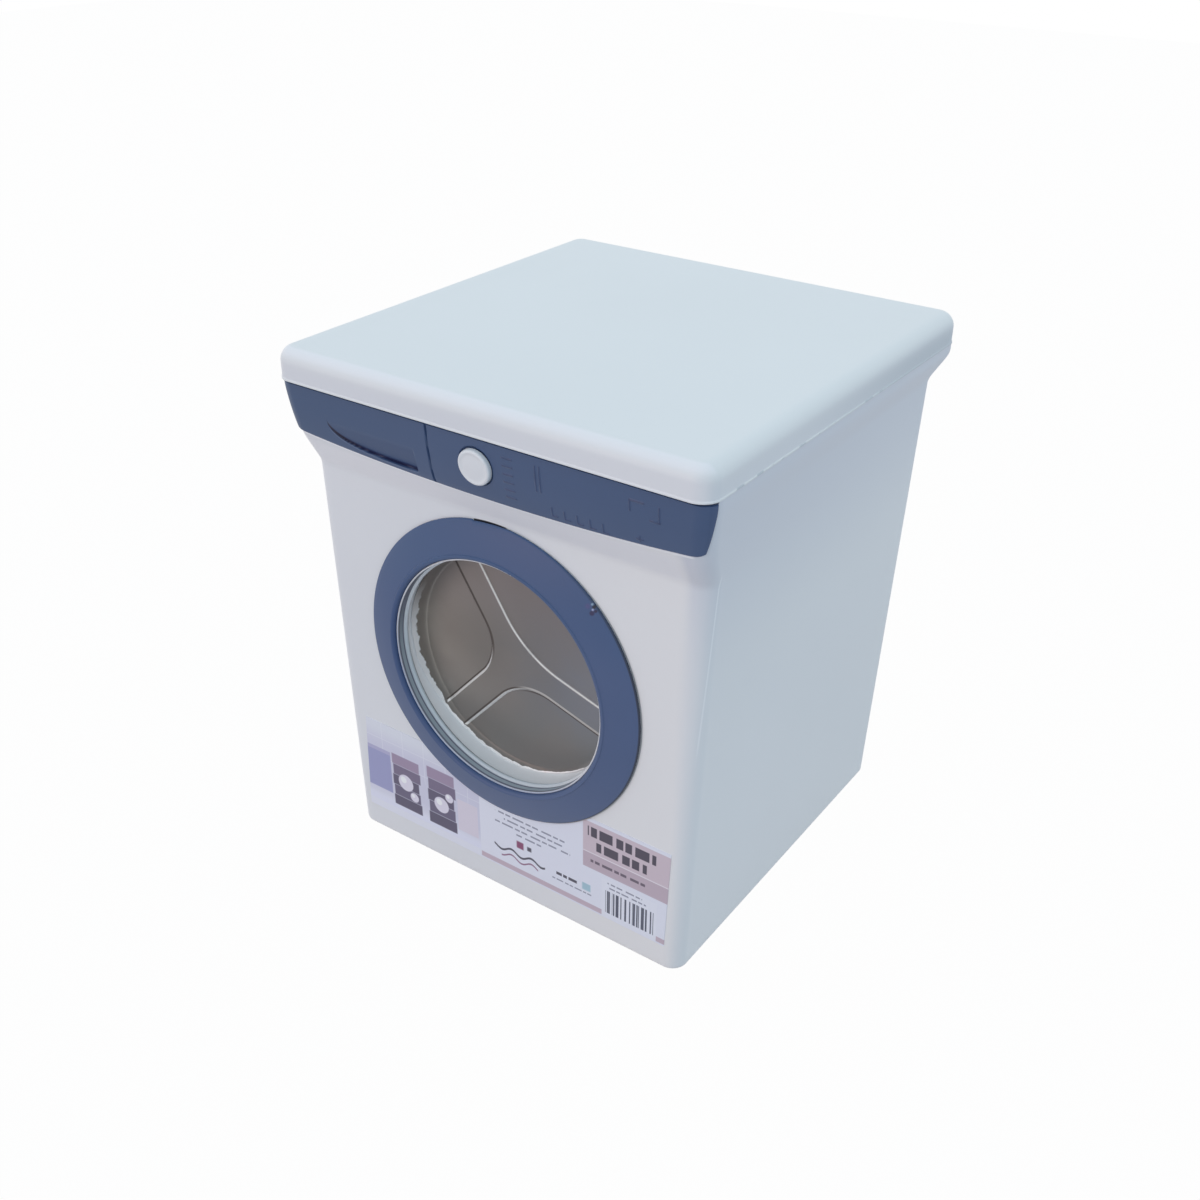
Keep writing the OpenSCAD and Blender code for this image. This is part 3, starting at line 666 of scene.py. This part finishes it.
# Plain panels of the label: left, right, low, high, softness, display colour
PANELS = (
    (-90, -69.5, 25.0, 49.0, 0.25, (140, 142, 179)),
    (-90, -69.5, 47.0, 49.0, 0.25, (160, 158, 188)),
    (-28.5, -16.5, 22.5, 40.5, 0.25, (197, 191, 204)),
    (6.0, 10.0, 28.5, 32.5, 0.4, (120, 62, 96)),
    (12.0, 14.4, 29.4, 31.8, 0.4, INK),
    (42.5, 47.0, 23.0, 27.0, 0.4, (150, 178, 192)),
    (43.0, 90.0, 37.0, 62.5, 0.2, (186, 172, 182)),
    (43.0, 90.0, 37.0, 45.6, 0.2, (172, 157, 169)),
    (43.0, 90.0, 45.4, 46.0, 0.15, (205, 198, 206)),
    (-15.0, 90.0, 13.6, 16.4, 0.2, (176, 160, 172)),
    (53.0, 81.5, 13.0, 34.5, 0.2, (207, 209, 220)),
)
# Stacks of folded cloth: left, right, low, high; the tones of their layers from below
STACKS = ((-68.5, -51.0, 19.4, 49.6), (-46.5, -29.5, 18.8, 51.6))
CLOTHS = ((74, 69, 92), (88, 82, 107), (78, 72, 96), (102, 92, 117), (140, 125, 149))
# Bubbles: middle and radius
BUBBLES = ((-60.5, 35.0, 4.6), (-55.5, 28.5, 2.6), (-38.5, 32.0, 4.4), (-33.5, 38.0, 2.4))
# Waves: middle height, half thickness, left, right, low, high, display colour
WAVES = ((24.5, 0.6, -7.0, 22.0, 20.0, 29.0, INK), (21.2, 0.45, -3.0, 18.0, 17.0, 25.0, (128, 92, 118)))
# Lines of dashes: left, right, height, thickness, display colour, pitch, start
PARAGRAPH = ((-6.0, 33.0), (-1.0, 34.0), (-7.0, 36.0), (6.0, 20.0))
RULES = tuple((x0, x1, 44.5 - 2.9 * k, 0.9, GREY, 5.2, 3.1 * k) for k, (x0, x1) in enumerate(PARAGRAPH))
RULES += (
    (28.0, 40.0, 25.0, 1.6, INK, 4.1, 1.0),
    (26.0, 48.0, 21.4, 0.7, GREY, 3.3, 0.6),
    (45.5, 80.5, 57.4, 5.2, TITLE_INK, 6.1, 2.0),
    (50.0, 76.0, 50.2, 4.8, TITLE_INK, 6.6, 4.0),
    (47.0, 76.0, 41.4, 1.5, (92, 82, 96), 4.6, 1.2),
    (56.0, 74.0, 33.0, 0.8, GREY, 4.4, 0.3),
    (57.0, 76.0, 30.6, 0.8, GREY, 3.9, 2.2),
)


def make_label_material():
    """Generic print: plain fields of colour, stacks of folded cloth, bubbles, waves and ruled dashes."""
    m = Mat("label_print", roughness=0.4)
    tone = paint(205, 207, 219)

    def lay(mask, rgb):
        nonlocal tone
        tone = m.mix(mask, tone, paint(*rgb))

    # A tiled wall at the left, pale along its foot
    wall = m.rect(-90, -15.2, 17.0, 66.0, 0.3)
    lay(wall * m.z.over(15.0, 30.0), (187, 187, 205))
    lay(wall * m.z.over(50.0, 62.0), (200, 203, 213))
    upright = ((m.x + 100.0).mod(13.0) - 6.5).abs().over(6.2, 6.45)
    level = (m.z.mod(11.0) - 5.5).abs().over(5.2, 5.45)
    lay(wall * upright.max(level) * m.z.over(38.0, 42.0) * 0.45, (214, 216, 226))
    lay(wall * m.z.under(19.0, 23.0), (203, 205, 221))
    for *sides, rgb in PANELS:
        lay(m.rect(*sides), rgb)
    for x0, x1, z0, z1 in STACKS:
        step = (z1 - z0) / len(CLOTHS)
        for k, rgb in enumerate(CLOTHS):
            low = z0 + k * step
            lay(m.rect(x0 + 0.5 * (k % 2), x1 - 0.6 * (k % 3), low + 0.2, low + step, 0.3), rgb)
    for x, z, r in BUBBLES:
        lay(m.disc(x, z, r), (202, 198, 212))
        lay(m.disc(x - 0.3 * r, z + 0.3 * r, 0.4 * r), (222, 221, 230))
    for mid, half, *sides, rgb in WAVES:
        off = ((m.x * 0.55).sin() * 1.2 + mid - m.z).abs()
        lay(off.under(half - 0.15, half + 0.15) * m.rect(*sides), rgb)
    for x0, x1, z, h, rgb, pitch, start in RULES:
        cell = (m.x + start) / pitch
        gap = (cell + (cell * 2.3).sin() * 0.22).mod(1.0).over(0.72, 0.78)
        lay(m.rect(x0, x1, z - h / 2, z + h / 2, 0.15) * (1.0 - gap), rgb)
    bars = (m.x * 2.9).sin() + (m.x * 5.3).sin() * 0.8 + (m.x * 1.27).sin() * 0.6
    lay(m.rect(55.0, 80.0, 16.0, 28.6, 0.15) * bars.over(-0.1, 0.25), (66, 70, 88))
    return m.finish(tone)


TUB_WHITE = make_tub_material()
LID_WHITE = make_lid_material()
STRIP_BLUE = make_strip_material()
RING_BLUE = make_ring_material()
KNOB_WHITE = make_knob_material()
DRUM = make_drum_material()
LABEL = make_label_material()


# Tub
WALLS = np.linspace(2.6, 189.5, 64)
INSIDE = np.linspace(BASE_T, 189.5, 40)
LIP_EASE, RIM_FRONT_T, SEAT_DEPTH = 0.3, 3.75, 1.7
FOLLOW_TOP, FOLLOW_SPAN, SEAT_MID, CORNER_RUN, PAST_END = 222.0, 17.5, 209.0, 8.4, 200.0


def skin_outline(rows):
    """Points round the flat front inside the tub, on the inner skin's own columns."""
    front = (CLOSED[1] == 1) & (CLOSED[3] == 0)
    wall = skin(OPEN, rows, WALL)
    low, high = (skin(CLOSED[:, front], rows[[k]], WALL)[0] for k in (0, -1))
    low, high = (side[np.argsort(side[:, 0])] for side in (low, high))
    middle = np.abs(low[:, 0]) < wall[0, 0, 0] - 1e-6
    middle_high = np.abs(high[:, 0]) < wall[-1, 0, 0] - 1e-6
    return np.concatenate([wall[:, 0], high[middle_high][::-1], wall[::-1, -1], low[middle]])


def tub_grids():
    """The tub: foot, walls with the pane round the door, collar with the strip's seat, rim and well."""
    grids = []

    def add(points, wrap=True, flip=False):
        grids.append((np.asarray(points), wrap, flip))

    def rays(outline):
        """Angles about the door's axis of the points round a pane."""
        return np.arctan2(outline[:, 2] - DOOR_Z, outline[:, 0])

    bend_low = np.radians(np.linspace(0, 90, 6))
    foot_z = np.concatenate([FOOT * (1 - np.cos(bend_low)), [WALLS[0]]])
    foot_d = np.concatenate([FOOT * (1 - np.sin(bend_low)), [0]])[:, None]
    base = skin(CLOSED, foot_z, foot_d)
    add(base)
    add([base[0] * [s, s, 1] for s in (0.0, 0.5, 0.97, 1.0)])
    add(skin(OPEN, WALLS), wrap=False)
    outline = pane_outline(WALLS)
    add(pane(outline, LIP_OUT_R + LIP_EASE), flip=True)

    # Rows of the collar: height, share of the strip's lower edge that it follows, depth of the seat
    rows = [(z, 0.0, 0.0) for z in (WALLS[-1], 190.5, 191, 191.5, 192, 192.5, 193, 193.5, 194, 194.5, 196)]
    rows += [(198.0, 0.3, 0.0), (200.0, 0.6, 0.0), (201.5, 0.85, 0.0), (203.0, 1.0, 0.0), (204.1, 1.0, 0.0)]
    seat = (204.5, 206, 208, 210, 212, 214, 216, 217, 218, 219, 220, 222, 224, 225.5, 226.5, 227.5)
    rows += [(z, max((FOLLOW_TOP - z) / FOLLOW_SPAN, 0.0), SEAT_DEPTH) for z in seat + (228.5, 229.6)]
    rows += [(z, 0.0, 0.0) for z in (230.1, 231.0, LEDGE)]
    level, follow, depth = (np.array(c, float)[:, None] for c in zip(*rows))
    x, f, b, nx, ny = CLOSED
    turn = np.arctan2(np.abs(nx), -ny)
    on_front = (f == 1) & (turn <= np.pi / 2 + 1e-6)
    across = np.abs(x) * (side_at(np.array(SEAT_MID)) - CORNER) + CORNER_RUN * np.abs(nx)
    z = level + follow * (np.where(on_front, strip_low(across), strip_low(PAST_END)) - STRIP_FOOT)
    end = strip_end(front_at(z))
    seated = np.where(on_front, 1 - smooth(turn, end - 0.24, end - 0.1), 0.0)
    collar = skin(CLOSED, z, depth * seated)
    add(collar)

    def rim_ring(d, front_d, z):
        """A ring of the rim at height z, set in by d, and by front_d at the front."""
        r = CORNER - d
        side, back = COLLAR_SIDE - RIM_SET - d, COLLAR_BACK - RIM_SET - d
        return section(CLOSED, side, COLLAR_FRONT - front_d, back, r, z)

    rim = [rim_ring(d, d, z) for d, z in ((0, LEDGE), (0, RIM - 0.5), (0.15, RIM - 0.15), (0.5, RIM))]
    rim.append(rim_ring(WALL, RIM_FRONT_T, RIM))
    add([collar[-1]] + rim)
    inner_z = [231.9, 229, 228, 227.5, 227, 226.5, 226, 224, 222, 220, 218.5, 217, 214.5, 210, 206, 200]
    inner_z = np.array(inner_z + [194.5, 193.5, 192.5, 191.5, 190.5, INSIDE[-1]])[:, None]
    step = WALL + RIM_SET * smooth(inner_z, 226.0, 228.0)
    inner_side = side_at(inner_z, b) - step
    inner_front = front_at(inner_z, COVE_INSIDE) - WALL
    inner = section(CLOSED, inner_side, inner_front, back_at(inner_z) - step, CORNER - WALL, inner_z)
    add(np.concatenate([rim[-1:], inner]))
    add(skin(OPEN, INSIDE, WALL), wrap=False, flip=True)
    floor = skin(CLOSED, INSIDE[:1], WALL)[0]
    add([floor * [s, s, 1] for s in (1, 0.97, 0.5, 0)])
    outline_in = skin_outline(INSIDE)
    hollow = pane(outline_in, BOSS_R, WALL)
    add(hollow)
    boss = turned(DOOR, [(BOSS_R, -WALL), (BOSS_R, -WELL_H - WALL)], rays(outline_in))
    boss[0] = hollow[0]
    add(boss, flip=True)
    cap = [(r, -WELL_H - WALL) for r in (BOSS_R, BOSS_R / 2, 0)]
    add(turned(DOOR, cap, rays(outline_in)), flip=True)

    # The well: lip inside the ring, bead, wall and floor
    well = [(LIP_OUT_R + LIP_EASE, 0), (LIP_OUT_R + 0.05, 0.1), (LIP_OUT_R, 0.4), (LIP_OUT_R, 4.15)]
    well += [(54.77, 4.33), (54.55, 4.4), (54.4, 4.4), (54.22, 4.33)]
    well += [(LIP_IN_R, 4.15), (LIP_IN_R, 2.0), (LIP_IN_R, 0.35)]
    well += [(54.05, 0.05), (53.6, -0.15), (53.28, -0.4), (BEAD_R, -0.8), (53.17, -1.2), (53.35, -1.6)]
    well += [(53.9, -1.95), (54.3, -2.3), (WELL_R, -2.6), (WELL_R, -7.0), (WELL_R, -12.6), (54.1, -13.1)]
    well += [(53.0, -WELL_H), (30, -WELL_H), (0, -WELL_H)]
    mouth = turned(DOOR, well, rays(outline))
    mouth[0] = pane(outline, LIP_OUT_R + LIP_EASE)[0]
    add(mouth)
    return grids


piece("tub_shell", tub_grids(), TUB_WHITE, "box", ["tub"])


# Lid
LIP_STEP, LIP_ROUND = 0.3, 0.35


def lid_grids():
    """The lid: a fine lip along its lower edge, skirt, rounded top edge, flat top and the hollow under."""

    def ring(inset, z):
        """The lid's outline at height z, set in by inset."""
        side, front, r = LID_W / 2 - inset, LID_D / 2 - inset, max(LID_CORNER - inset, 1.0)
        return section(CLOSED, side, front, front, r, np.array([[z]]))[0]

    def quarter_round(inset, r, low, steps):
        """Rings that turn from upright to level, starting at a height."""
        angles = np.radians(np.linspace(0, 90, steps))
        return [ring(inset + r * (1 - np.cos(a)), low + r * np.sin(a)) for a in angles]

    turn = np.radians(np.linspace(0, 90, 6))
    lip = [ring(LIP_ROUND * (1 - np.sin(a)), TUB_H + LIP_ROUND * (1 - np.cos(a))) for a in turn]
    lip += [ring(inset, TUB_H + h) for inset, h in ((0, 0.6), (0.08, 0.85), (0.25, 1.0), (LIP_STEP, 1.2))]
    skirt = [ring(LIP_STEP, TUB_H + h) for h in (1.6, 4.0, 6.6)]
    top_z = TUB_H + LID_H
    edge = quarter_round(LIP_STEP, LID_EDGE - LIP_STEP, top_z - LID_EDGE + LIP_STEP, 21)
    top = [edge[-1] * [s, s, 1] for s in (0.99, 0.96, 0.85, 0.65, 0.4, 0.2, 0.0)]
    inner_r = LID_EDGE - LID_T
    inside = [ring(LID_T, TUB_H + 0.2), ring(LID_T, TUB_H + 4)]
    inside += quarter_round(LID_T, inner_r, top_z - LID_EDGE, 9)
    under = [inside[-1] * [s, s, 1] for s in (1, 0.98, 0.6, 0)]
    return [
        (np.stack(lip + skirt + edge + top), True, False),
        (np.stack([inside[0], lip[0]]), True, False),
        (np.stack(inside), True, True),
        (np.stack(under), True, True),
    ]


piece("lid_cap", lid_grids(), LID_WHITE, "lid", ["lid"])


# Control strip
STRIP_EDGE, STRIP_BACK = 0.8, -0.5


def stroke(x, z, x0, z0, x1, z1, w):
    """1 on a straight stroke of width w, falling to 0 over a quarter millimetre."""
    dx, dz = x1 - x0, z1 - z0
    t = np.clip(((x - x0) * dx + (z - z0) * dz) / (dx * dx + dz * dz), 0, 1)
    return 1 - smooth(np.hypot(x - x0 - t * dx, z - z0 - t * dz), w / 2 - 0.1, w / 2 + 0.15)


def relief(x, z):
    """Height of the strip's face: dial dish, drawer groove, finger scoop and raised marks."""
    h = np.zeros_like(x)
    for mark in MARKS:
        h = np.maximum(h, MARK_H * stroke(x, z, *mark, MARK_W))
    h -= GROOVE_DEPTH * (1 - smooth(np.abs(x - GROOVE_X), 0.3, 0.6))
    # The scoop sinks towards its curved lower edge and ends there in a wall
    s = np.clip((x + SCOOP_TIP) / SCOOP_W, 0, 1)
    low = SCOOP_LOW + SCOOP_H * (1 - np.sqrt(s)) ** 2
    depth = SCOOP_DEPTH * np.clip((SCOOP_LOW + SCOOP_H - z) / SCOOP_H, 0, 1) ** 1.2
    far_end = SCOOP_W - SCOOP_TIP
    ends = smooth(x, -SCOOP_TIP, 0.7 - SCOOP_TIP) * (1 - smooth(x, far_end - 0.5, far_end))
    h -= depth * smooth(z, low - 0.15, low + 0.25) * ends
    reach = np.hypot(x, (z - KNOB_Z) * np.hypot(1, KNOB_SLOPE))
    dish = DISH_DEPTH * (1 - smooth(reach, KNOB_R + 0.35, KNOB_R + 0.7))
    return np.where(reach < KNOB_R + 0.75, -dish, h)


def strip_grids():
    """The strip: the collar's front and corners pushed out, with an arched foot and rounded edges."""
    arc = 1 - np.linspace(1, 0, 26) ** 1.6
    straight = np.linspace(-1, 1, 560)
    q = np.concatenate([[-1], -arc[:0:-1], 0 * straight, arc[1:], [1]])
    xw = np.concatenate([-np.ones(26), straight, np.ones(26)])
    hem = np.zeros(len(q), bool)
    hem[[0, -1]] = True
    foot = 0.7 * (1 - np.cos(np.linspace(0, np.pi / 2, 7)))[1:] / 27.0
    v = np.concatenate([[0, 0], foot, np.linspace(0.03, 0.985, 66), [1, 1]])
    hem_row = np.zeros(len(v), bool)
    hem_row[[0, -1]] = True

    def surface(z, d):
        """Points at heights z on the collar moved out by d; q runs round each corner to the strip's end."""
        side, front, r = side_at(z) + d, front_at(z) + d, CORNER + d
        a = q * strip_end(front_at(z))
        return np.stack([xw * (side - r) + r * np.sin(a), -(front - r) - r * np.cos(a), z + 0 * a], -1)

    low = np.full(len(q), STRIP_FOOT + STRIP_ARCH)
    for _ in range(16):
        low = 0.5 * low + 0.5 * strip_low(surface(low, STRIP_PROUD)[..., 0])
    z = low + v[:, None] * (STRIP_TOP - low)
    path = np.where(np.abs(q) > 0, (CORNER + STRIP_PROUD) * strip_end(front_at(z)) * (1 - np.abs(q)), 50.0)
    edge = np.minimum(np.minimum(z - low, path), (STRIP_TOP - z) * 2)
    into = np.clip(STRIP_EDGE - edge, 0, STRIP_EDGE)
    round_in = STRIP_EDGE - np.sqrt(STRIP_EDGE**2 - into**2)
    d = STRIP_PROUD - round_in + relief(surface(z, STRIP_PROUD)[..., 0], z) * (edge > 0.4)
    d = np.where(hem[None, :] | hem_row[:, None], STRIP_BACK, d)
    return [(surface(z, d), False, False), (surface(z, np.full(d.shape, STRIP_BACK)), False, True)]


piece("strip_moulding", strip_grids(), STRIP_BLUE, "box", ["control_strip"])


# Knob, ring, drum face, label
ROUND_STEPS = 720
RING_LOW, RING_HIGH, RING_NOSE, NOTCH_DEPTH = 1.5, 6.2, 1.6, 0.6
KNOB_PROFILE = np.concatenate(
    [
        [(0, 0.4), (KNOB_R - 0.3, 0.4), (KNOB_R, 0.7), (KNOB_R, 1.7)],
        bend(KNOB_R - 1.0, 1.8, 1.0, 10, 120, 9),
        [(5.7, 2.55), (5.2, 2.5), (4.0, 2.63), (2.2, 2.73), (0, 2.76)],
    ]
)
KNOB_GRIDS = [(turned(KNOB, KNOB_PROFILE, 128), True, False)]
piece("knob_cap", KNOB_GRIDS, KNOB_WHITE, "dial", ["dial_knob"])


def ring_grids():
    """The door ring: a conical band turned about the door's axis, with a worn notch at the top."""
    width = RING_R - HOLE_R
    rise = (RING_HIGH - RING_LOW) / width
    tilt = np.degrees(np.arctan(rise))
    in_from = np.linspace(1.8, width - 2.4, 14)
    profile = np.concatenate(
        [
            [(RING_R - 1.4, 0.05), (RING_R - 0.8, 0.3), (RING_R - 0.15, 0.35), (RING_R, 0.5)],
            bend(RING_R - 0.7, 0.8, 0.7, 0, 90 - tilt, 7),
            [(RING_R - t, RING_LOW + rise * t + 0.25 * np.sin(np.pi * t / width)) for t in in_from],
            bend(HOLE_R + RING_NOSE, RING_HIGH - RING_NOSE, RING_NOSE, 90 - tilt, 180, 10),
            [(HOLE_R, 3.4), (HOLE_R, 2.3), (HOLE_R + 2, 2.25), (HOLE_R + 2.2, 3.6), (RING_R - 1.9, 0.4)],
            [(RING_R - 1.4, 0.05)],
        ]
    )
    a = np.linspace(0, 2 * np.pi, ROUND_STEPS, endpoint=False)
    deg = np.degrees(a)
    r, h = profile[:, :1] + 0 * a, profile[:, 1:] + 0 * a
    outer = smooth(r, RING_R - 2.2, RING_R - 0.1)
    notch = np.clip((deg - 84.5) / 9, 0, 1) ** 0.7 * (1 - smooth(deg, 98.4, 99.2))
    r = r - NOTCH_DEPTH * outer * notch
    return [(place(DOOR, r * np.cos(a), r * np.sin(a), h), True, False)]


piece("ring_moulding", ring_grids(), RING_BLUE, "box", ["door_ring"])


def lobe_distance(u, v, a0, a1, r):
    """Signed distance from a lobe: a wedge between two arms with a rounded inner corner."""
    mid, half, corner = lobe_frame(a0, a1, r)
    p = u * np.cos(mid) + v * np.sin(mid) - corner
    w = np.abs(v * np.cos(mid) - u * np.sin(mid))
    along = p * np.cos(half) + w * np.sin(half)
    off = w * np.cos(half) - p * np.sin(half)
    return np.where(along > 0, off, np.hypot(p, w)) - r


# The drum sheet: radii of its flat part, turned-up edge and outer wall, heights of its lobes and arms
SHEET_FLAT_R, SHEET_EDGE_R, SHEET_OUT_R = 51.6, 53.8, 54.04
LOBE_H, ARM_RISE, SHEET_FOOT, TEARS = 0.9, 1.2, 0.08, 44
# Depth of the sheet's torn edge round the well: angle in degrees, then height
TORN = np.array([
    (-180, -4.2), (-165, -4.8), (-150, -7.0), (-128, -9.0), (-110, -9.2), (-95, -9.3), (-75, -11.4),
    (-55, -11.8), (0, -9), (60, -8.2), (110, -7.2), (140, -4.4), (160, -4.0), (180, -4.2),
])


def drum_grids():
    """The drum face: a dished sheet with three raised arms and an unevenly torn edge up the well's wall."""
    rng = np.random.default_rng(7)
    a = np.linspace(-np.pi, np.pi, ROUND_STEPS, endpoint=False)
    knots = np.sort(rng.uniform(-np.pi, np.pi, TEARS))
    tear = np.interp(a, knots, rng.uniform(-0.45, 0.1, TEARS), period=2 * np.pi)
    tear = tear * (1 + 1.6 * np.exp(-(((np.degrees(a) + 110) / 40) ** 2)))
    top = np.interp(np.degrees(a), TORN[:, 0], TORN[:, 1]) + tear
    flat = SHEET_FLAT_R * np.linspace(0, 1, 108) ** 0.85
    r = np.concatenate([flat, np.linspace(SHEET_FLAT_R + 0.2, SHEET_EDGE_R, 11)])[:, None] + 0 * a
    u, v = r * np.cos(a), r * np.sin(a)
    sunk = np.max([1 - smooth(lobe_distance(u, v, *lobe), -0.7, 0.5) for lobe in LOBES], axis=0)
    sheet = LOBE_H - WELL_H + ARM_RISE * (1 - sunk)
    top = np.maximum(top, sheet[-1] + 0.5)
    curl = np.clip((r - SHEET_FLAT_R) / (SHEET_EDGE_R - SHEET_FLAT_R), 0, 1) ** 1.8
    h = sheet + (top - sheet) * curl
    foot = np.full(ROUND_STEPS, SHEET_FOOT - WELL_H)
    wall = ((53.9, top), (54.0, top - 0.1), (SHEET_OUT_R, top - 0.3), (SHEET_OUT_R, foot + 0.22))
    wall += ((53.7, foot), (30.0, foot), (0.0, foot))
    rim = np.stack([place(DOOR, x * np.cos(a), x * np.sin(a), y) for x, y in wall])
    return [(np.concatenate([place(DOOR, u, v, h), rim]), True, True)]


piece("drum_sheet", drum_grids(), DRUM, "box", ["drum_plate"])


# The label: heights of its edges, gap to the ring, thickness; each end's place at the foot, and its lean
LABEL_LOW, LABEL_HIGH, LABEL_GAP, FILM_T, FILM_FOOT = 12.8, 64.3, 0.6, 0.25, 0.02
LABEL_LEFT, LEFT_LEAN, LABEL_RIGHT, RIGHT_LEAN = -85.0, 1.6, 85.6, 2.0


def label_grids():
    """The label: a flat film, stuck on a little askew, with its upper edge cut to an arch round the ring."""
    gap = RING_R + LABEL_GAP
    u = np.concatenate([[0, 0], np.linspace(0.0024, 0.9976, 240), [1, 1]])

    def across(z):
        """Places of the columns at height z, from the left edge to the right one."""
        rise = (z - LABEL_LOW) / (LABEL_HIGH - LABEL_LOW)
        left, right = LABEL_LEFT + LEFT_LEAN * rise, LABEL_RIGHT + RIGHT_LEAN * rise
        return left + (right - left) * u

    top = np.full(len(u), LABEL_HIGH)
    for _ in range(6):
        x = across(top)
        arch = DOOR_Z - np.sqrt(np.maximum(gap**2 - x**2, 0))
        top = np.where(np.abs(x) < gap, np.minimum(LABEL_HIGH, arch), LABEL_HIGH)
    v = np.concatenate([[0], np.linspace(0, 1, 40), [1]])[:, None]
    z = LABEL_LOW + (top - LABEL_LOW) * v
    lift = np.full(z.shape, FILM_T)
    lift[[0, -1], :] = FILM_FOOT
    lift[:, [0, -1]] = FILM_FOOT
    film = np.stack([across(z), -front_at(z) - lift, z], -1)
    back = np.stack([across(z), -front_at(z) - FILM_FOOT, z], -1)
    return [(film, False, False), (back, False, True)]


piece("label_film", label_grids(), LABEL, "box", ["front_label"])


# Stage: floor, light and camera
def white_rays(tree):
    """1 for rays from the camera and for reflected or transmitted ones, 0 for light on the object."""
    ray = tree.nodes.new("ShaderNodeLightPath")
    seen = ray.outputs["Is Camera Ray"]
    for kind in ("Is Glossy Ray", "Is Transmission Ray"):
        either = tree.nodes.new("ShaderNodeMath")
        either.operation = "MAXIMUM"
        tree.links.new(seen, either.inputs[0])
        tree.links.new(ray.outputs[kind], either.inputs[1])
        seen = either.outputs[0]
    return seen


def make_floor():
    """A pale floor that the camera and reflections see as white, with a faint shadow of the object."""
    m = Mat("floor_pale", roughness=0.9)
    m.finish((0.42, 0.42, 0.46, 1.0))
    seen = white_rays(m.tree)
    glow = m.tree.nodes.new("ShaderNodeEmission")
    blend = m.tree.nodes.new("ShaderNodeMixShader")
    link = m.tree.links.new
    link((Sock(m, seen) * 0.98).socket, blend.inputs[0])
    link(m.bsdf.outputs[0], blend.inputs[1])
    link(glow.outputs[0], blend.inputs[2])
    link(blend.outputs[0], m.tree.nodes["Material Output"].inputs["Surface"])
    mesh = bpy.data.meshes.new("floor")
    s = 3.0
    mesh.from_pydata([(-s, -s, 0), (s, -s, 0), (s, s, 0), (-s, s, 0)], [], [(0, 1, 2, 3)])
    mesh.materials.append(m.material)
    floor = bpy.data.objects.new("floor", mesh)
    bpy.context.scene.collection.objects.link(floor)


def make_world():
    """White for the camera and reflections, soft cool light for everything else."""
    world = bpy.data.worlds.new("studio")
    bpy.context.scene.world = world
    world.use_nodes = True
    tree = world.node_tree
    back = tree.nodes["Background"]
    pick = tree.nodes.new("ShaderNodeMix")
    pick.data_type = "RGBA"
    pick.inputs[6].default_value = (0.72, 0.85, 0.955, 1.0)
    pick.inputs[7].default_value = (1, 1, 1, 1)
    tree.links.new(white_rays(tree), pick.inputs[0])
    tree.links.new(pick.outputs[2], back.inputs["Color"])
    back.inputs["Strength"].default_value = 1.0


def area_light(name, at, to, size, power, color):
    """A square area light aimed at a point."""
    data = bpy.data.lights.new(name, "AREA")
    data.size, data.energy, data.color = size, power, color
    lamp = bpy.data.objects.new(name, data)
    at, to = np.array(at, float), np.array(to, float)
    z = (at - to) / np.linalg.norm(at - to)
    x = np.cross([0, 0, 1], z)
    x /= np.linalg.norm(x)
    pose = np.column_stack([x, np.cross(z, x), z, at])
    lamp.matrix_world = Matrix(np.vstack([pose, [0, 0, 0, 1]]).tolist())
    bpy.context.scene.collection.objects.link(lamp)


def make_camera():
    """The photo's view, from the fit of its edges."""
    data = bpy.data.cameras.new("camera")
    data.lens, data.sensor_width = 41.147, 36.0
    data.clip_start = 0.01
    camera = bpy.data.objects.new("camera", data)
    right = (0.8172833, 0.5761823, 0.0078745)
    up = (-0.2917928, 0.4020311, 0.8678871)
    back = (0.4968954, -0.7116073, 0.4966991)
    at = (0.31256, -0.46796, 0.43419)
    pose = np.column_stack([right, up, back, at])
    camera.matrix_world = Matrix(np.vstack([pose, [0, 0, 0, 1]]).tolist())
    bpy.context.scene.collection.objects.link(camera)
    bpy.context.scene.camera = camera


make_floor()
make_world()
area_light("key", (-0.75, -1.9, 0.35), (0, 0, 0.12), 1.2, 8.2, (1.0, 0.565, 0.45))
make_camera()
bpy.context.scene.view_settings.view_transform = "Standard"
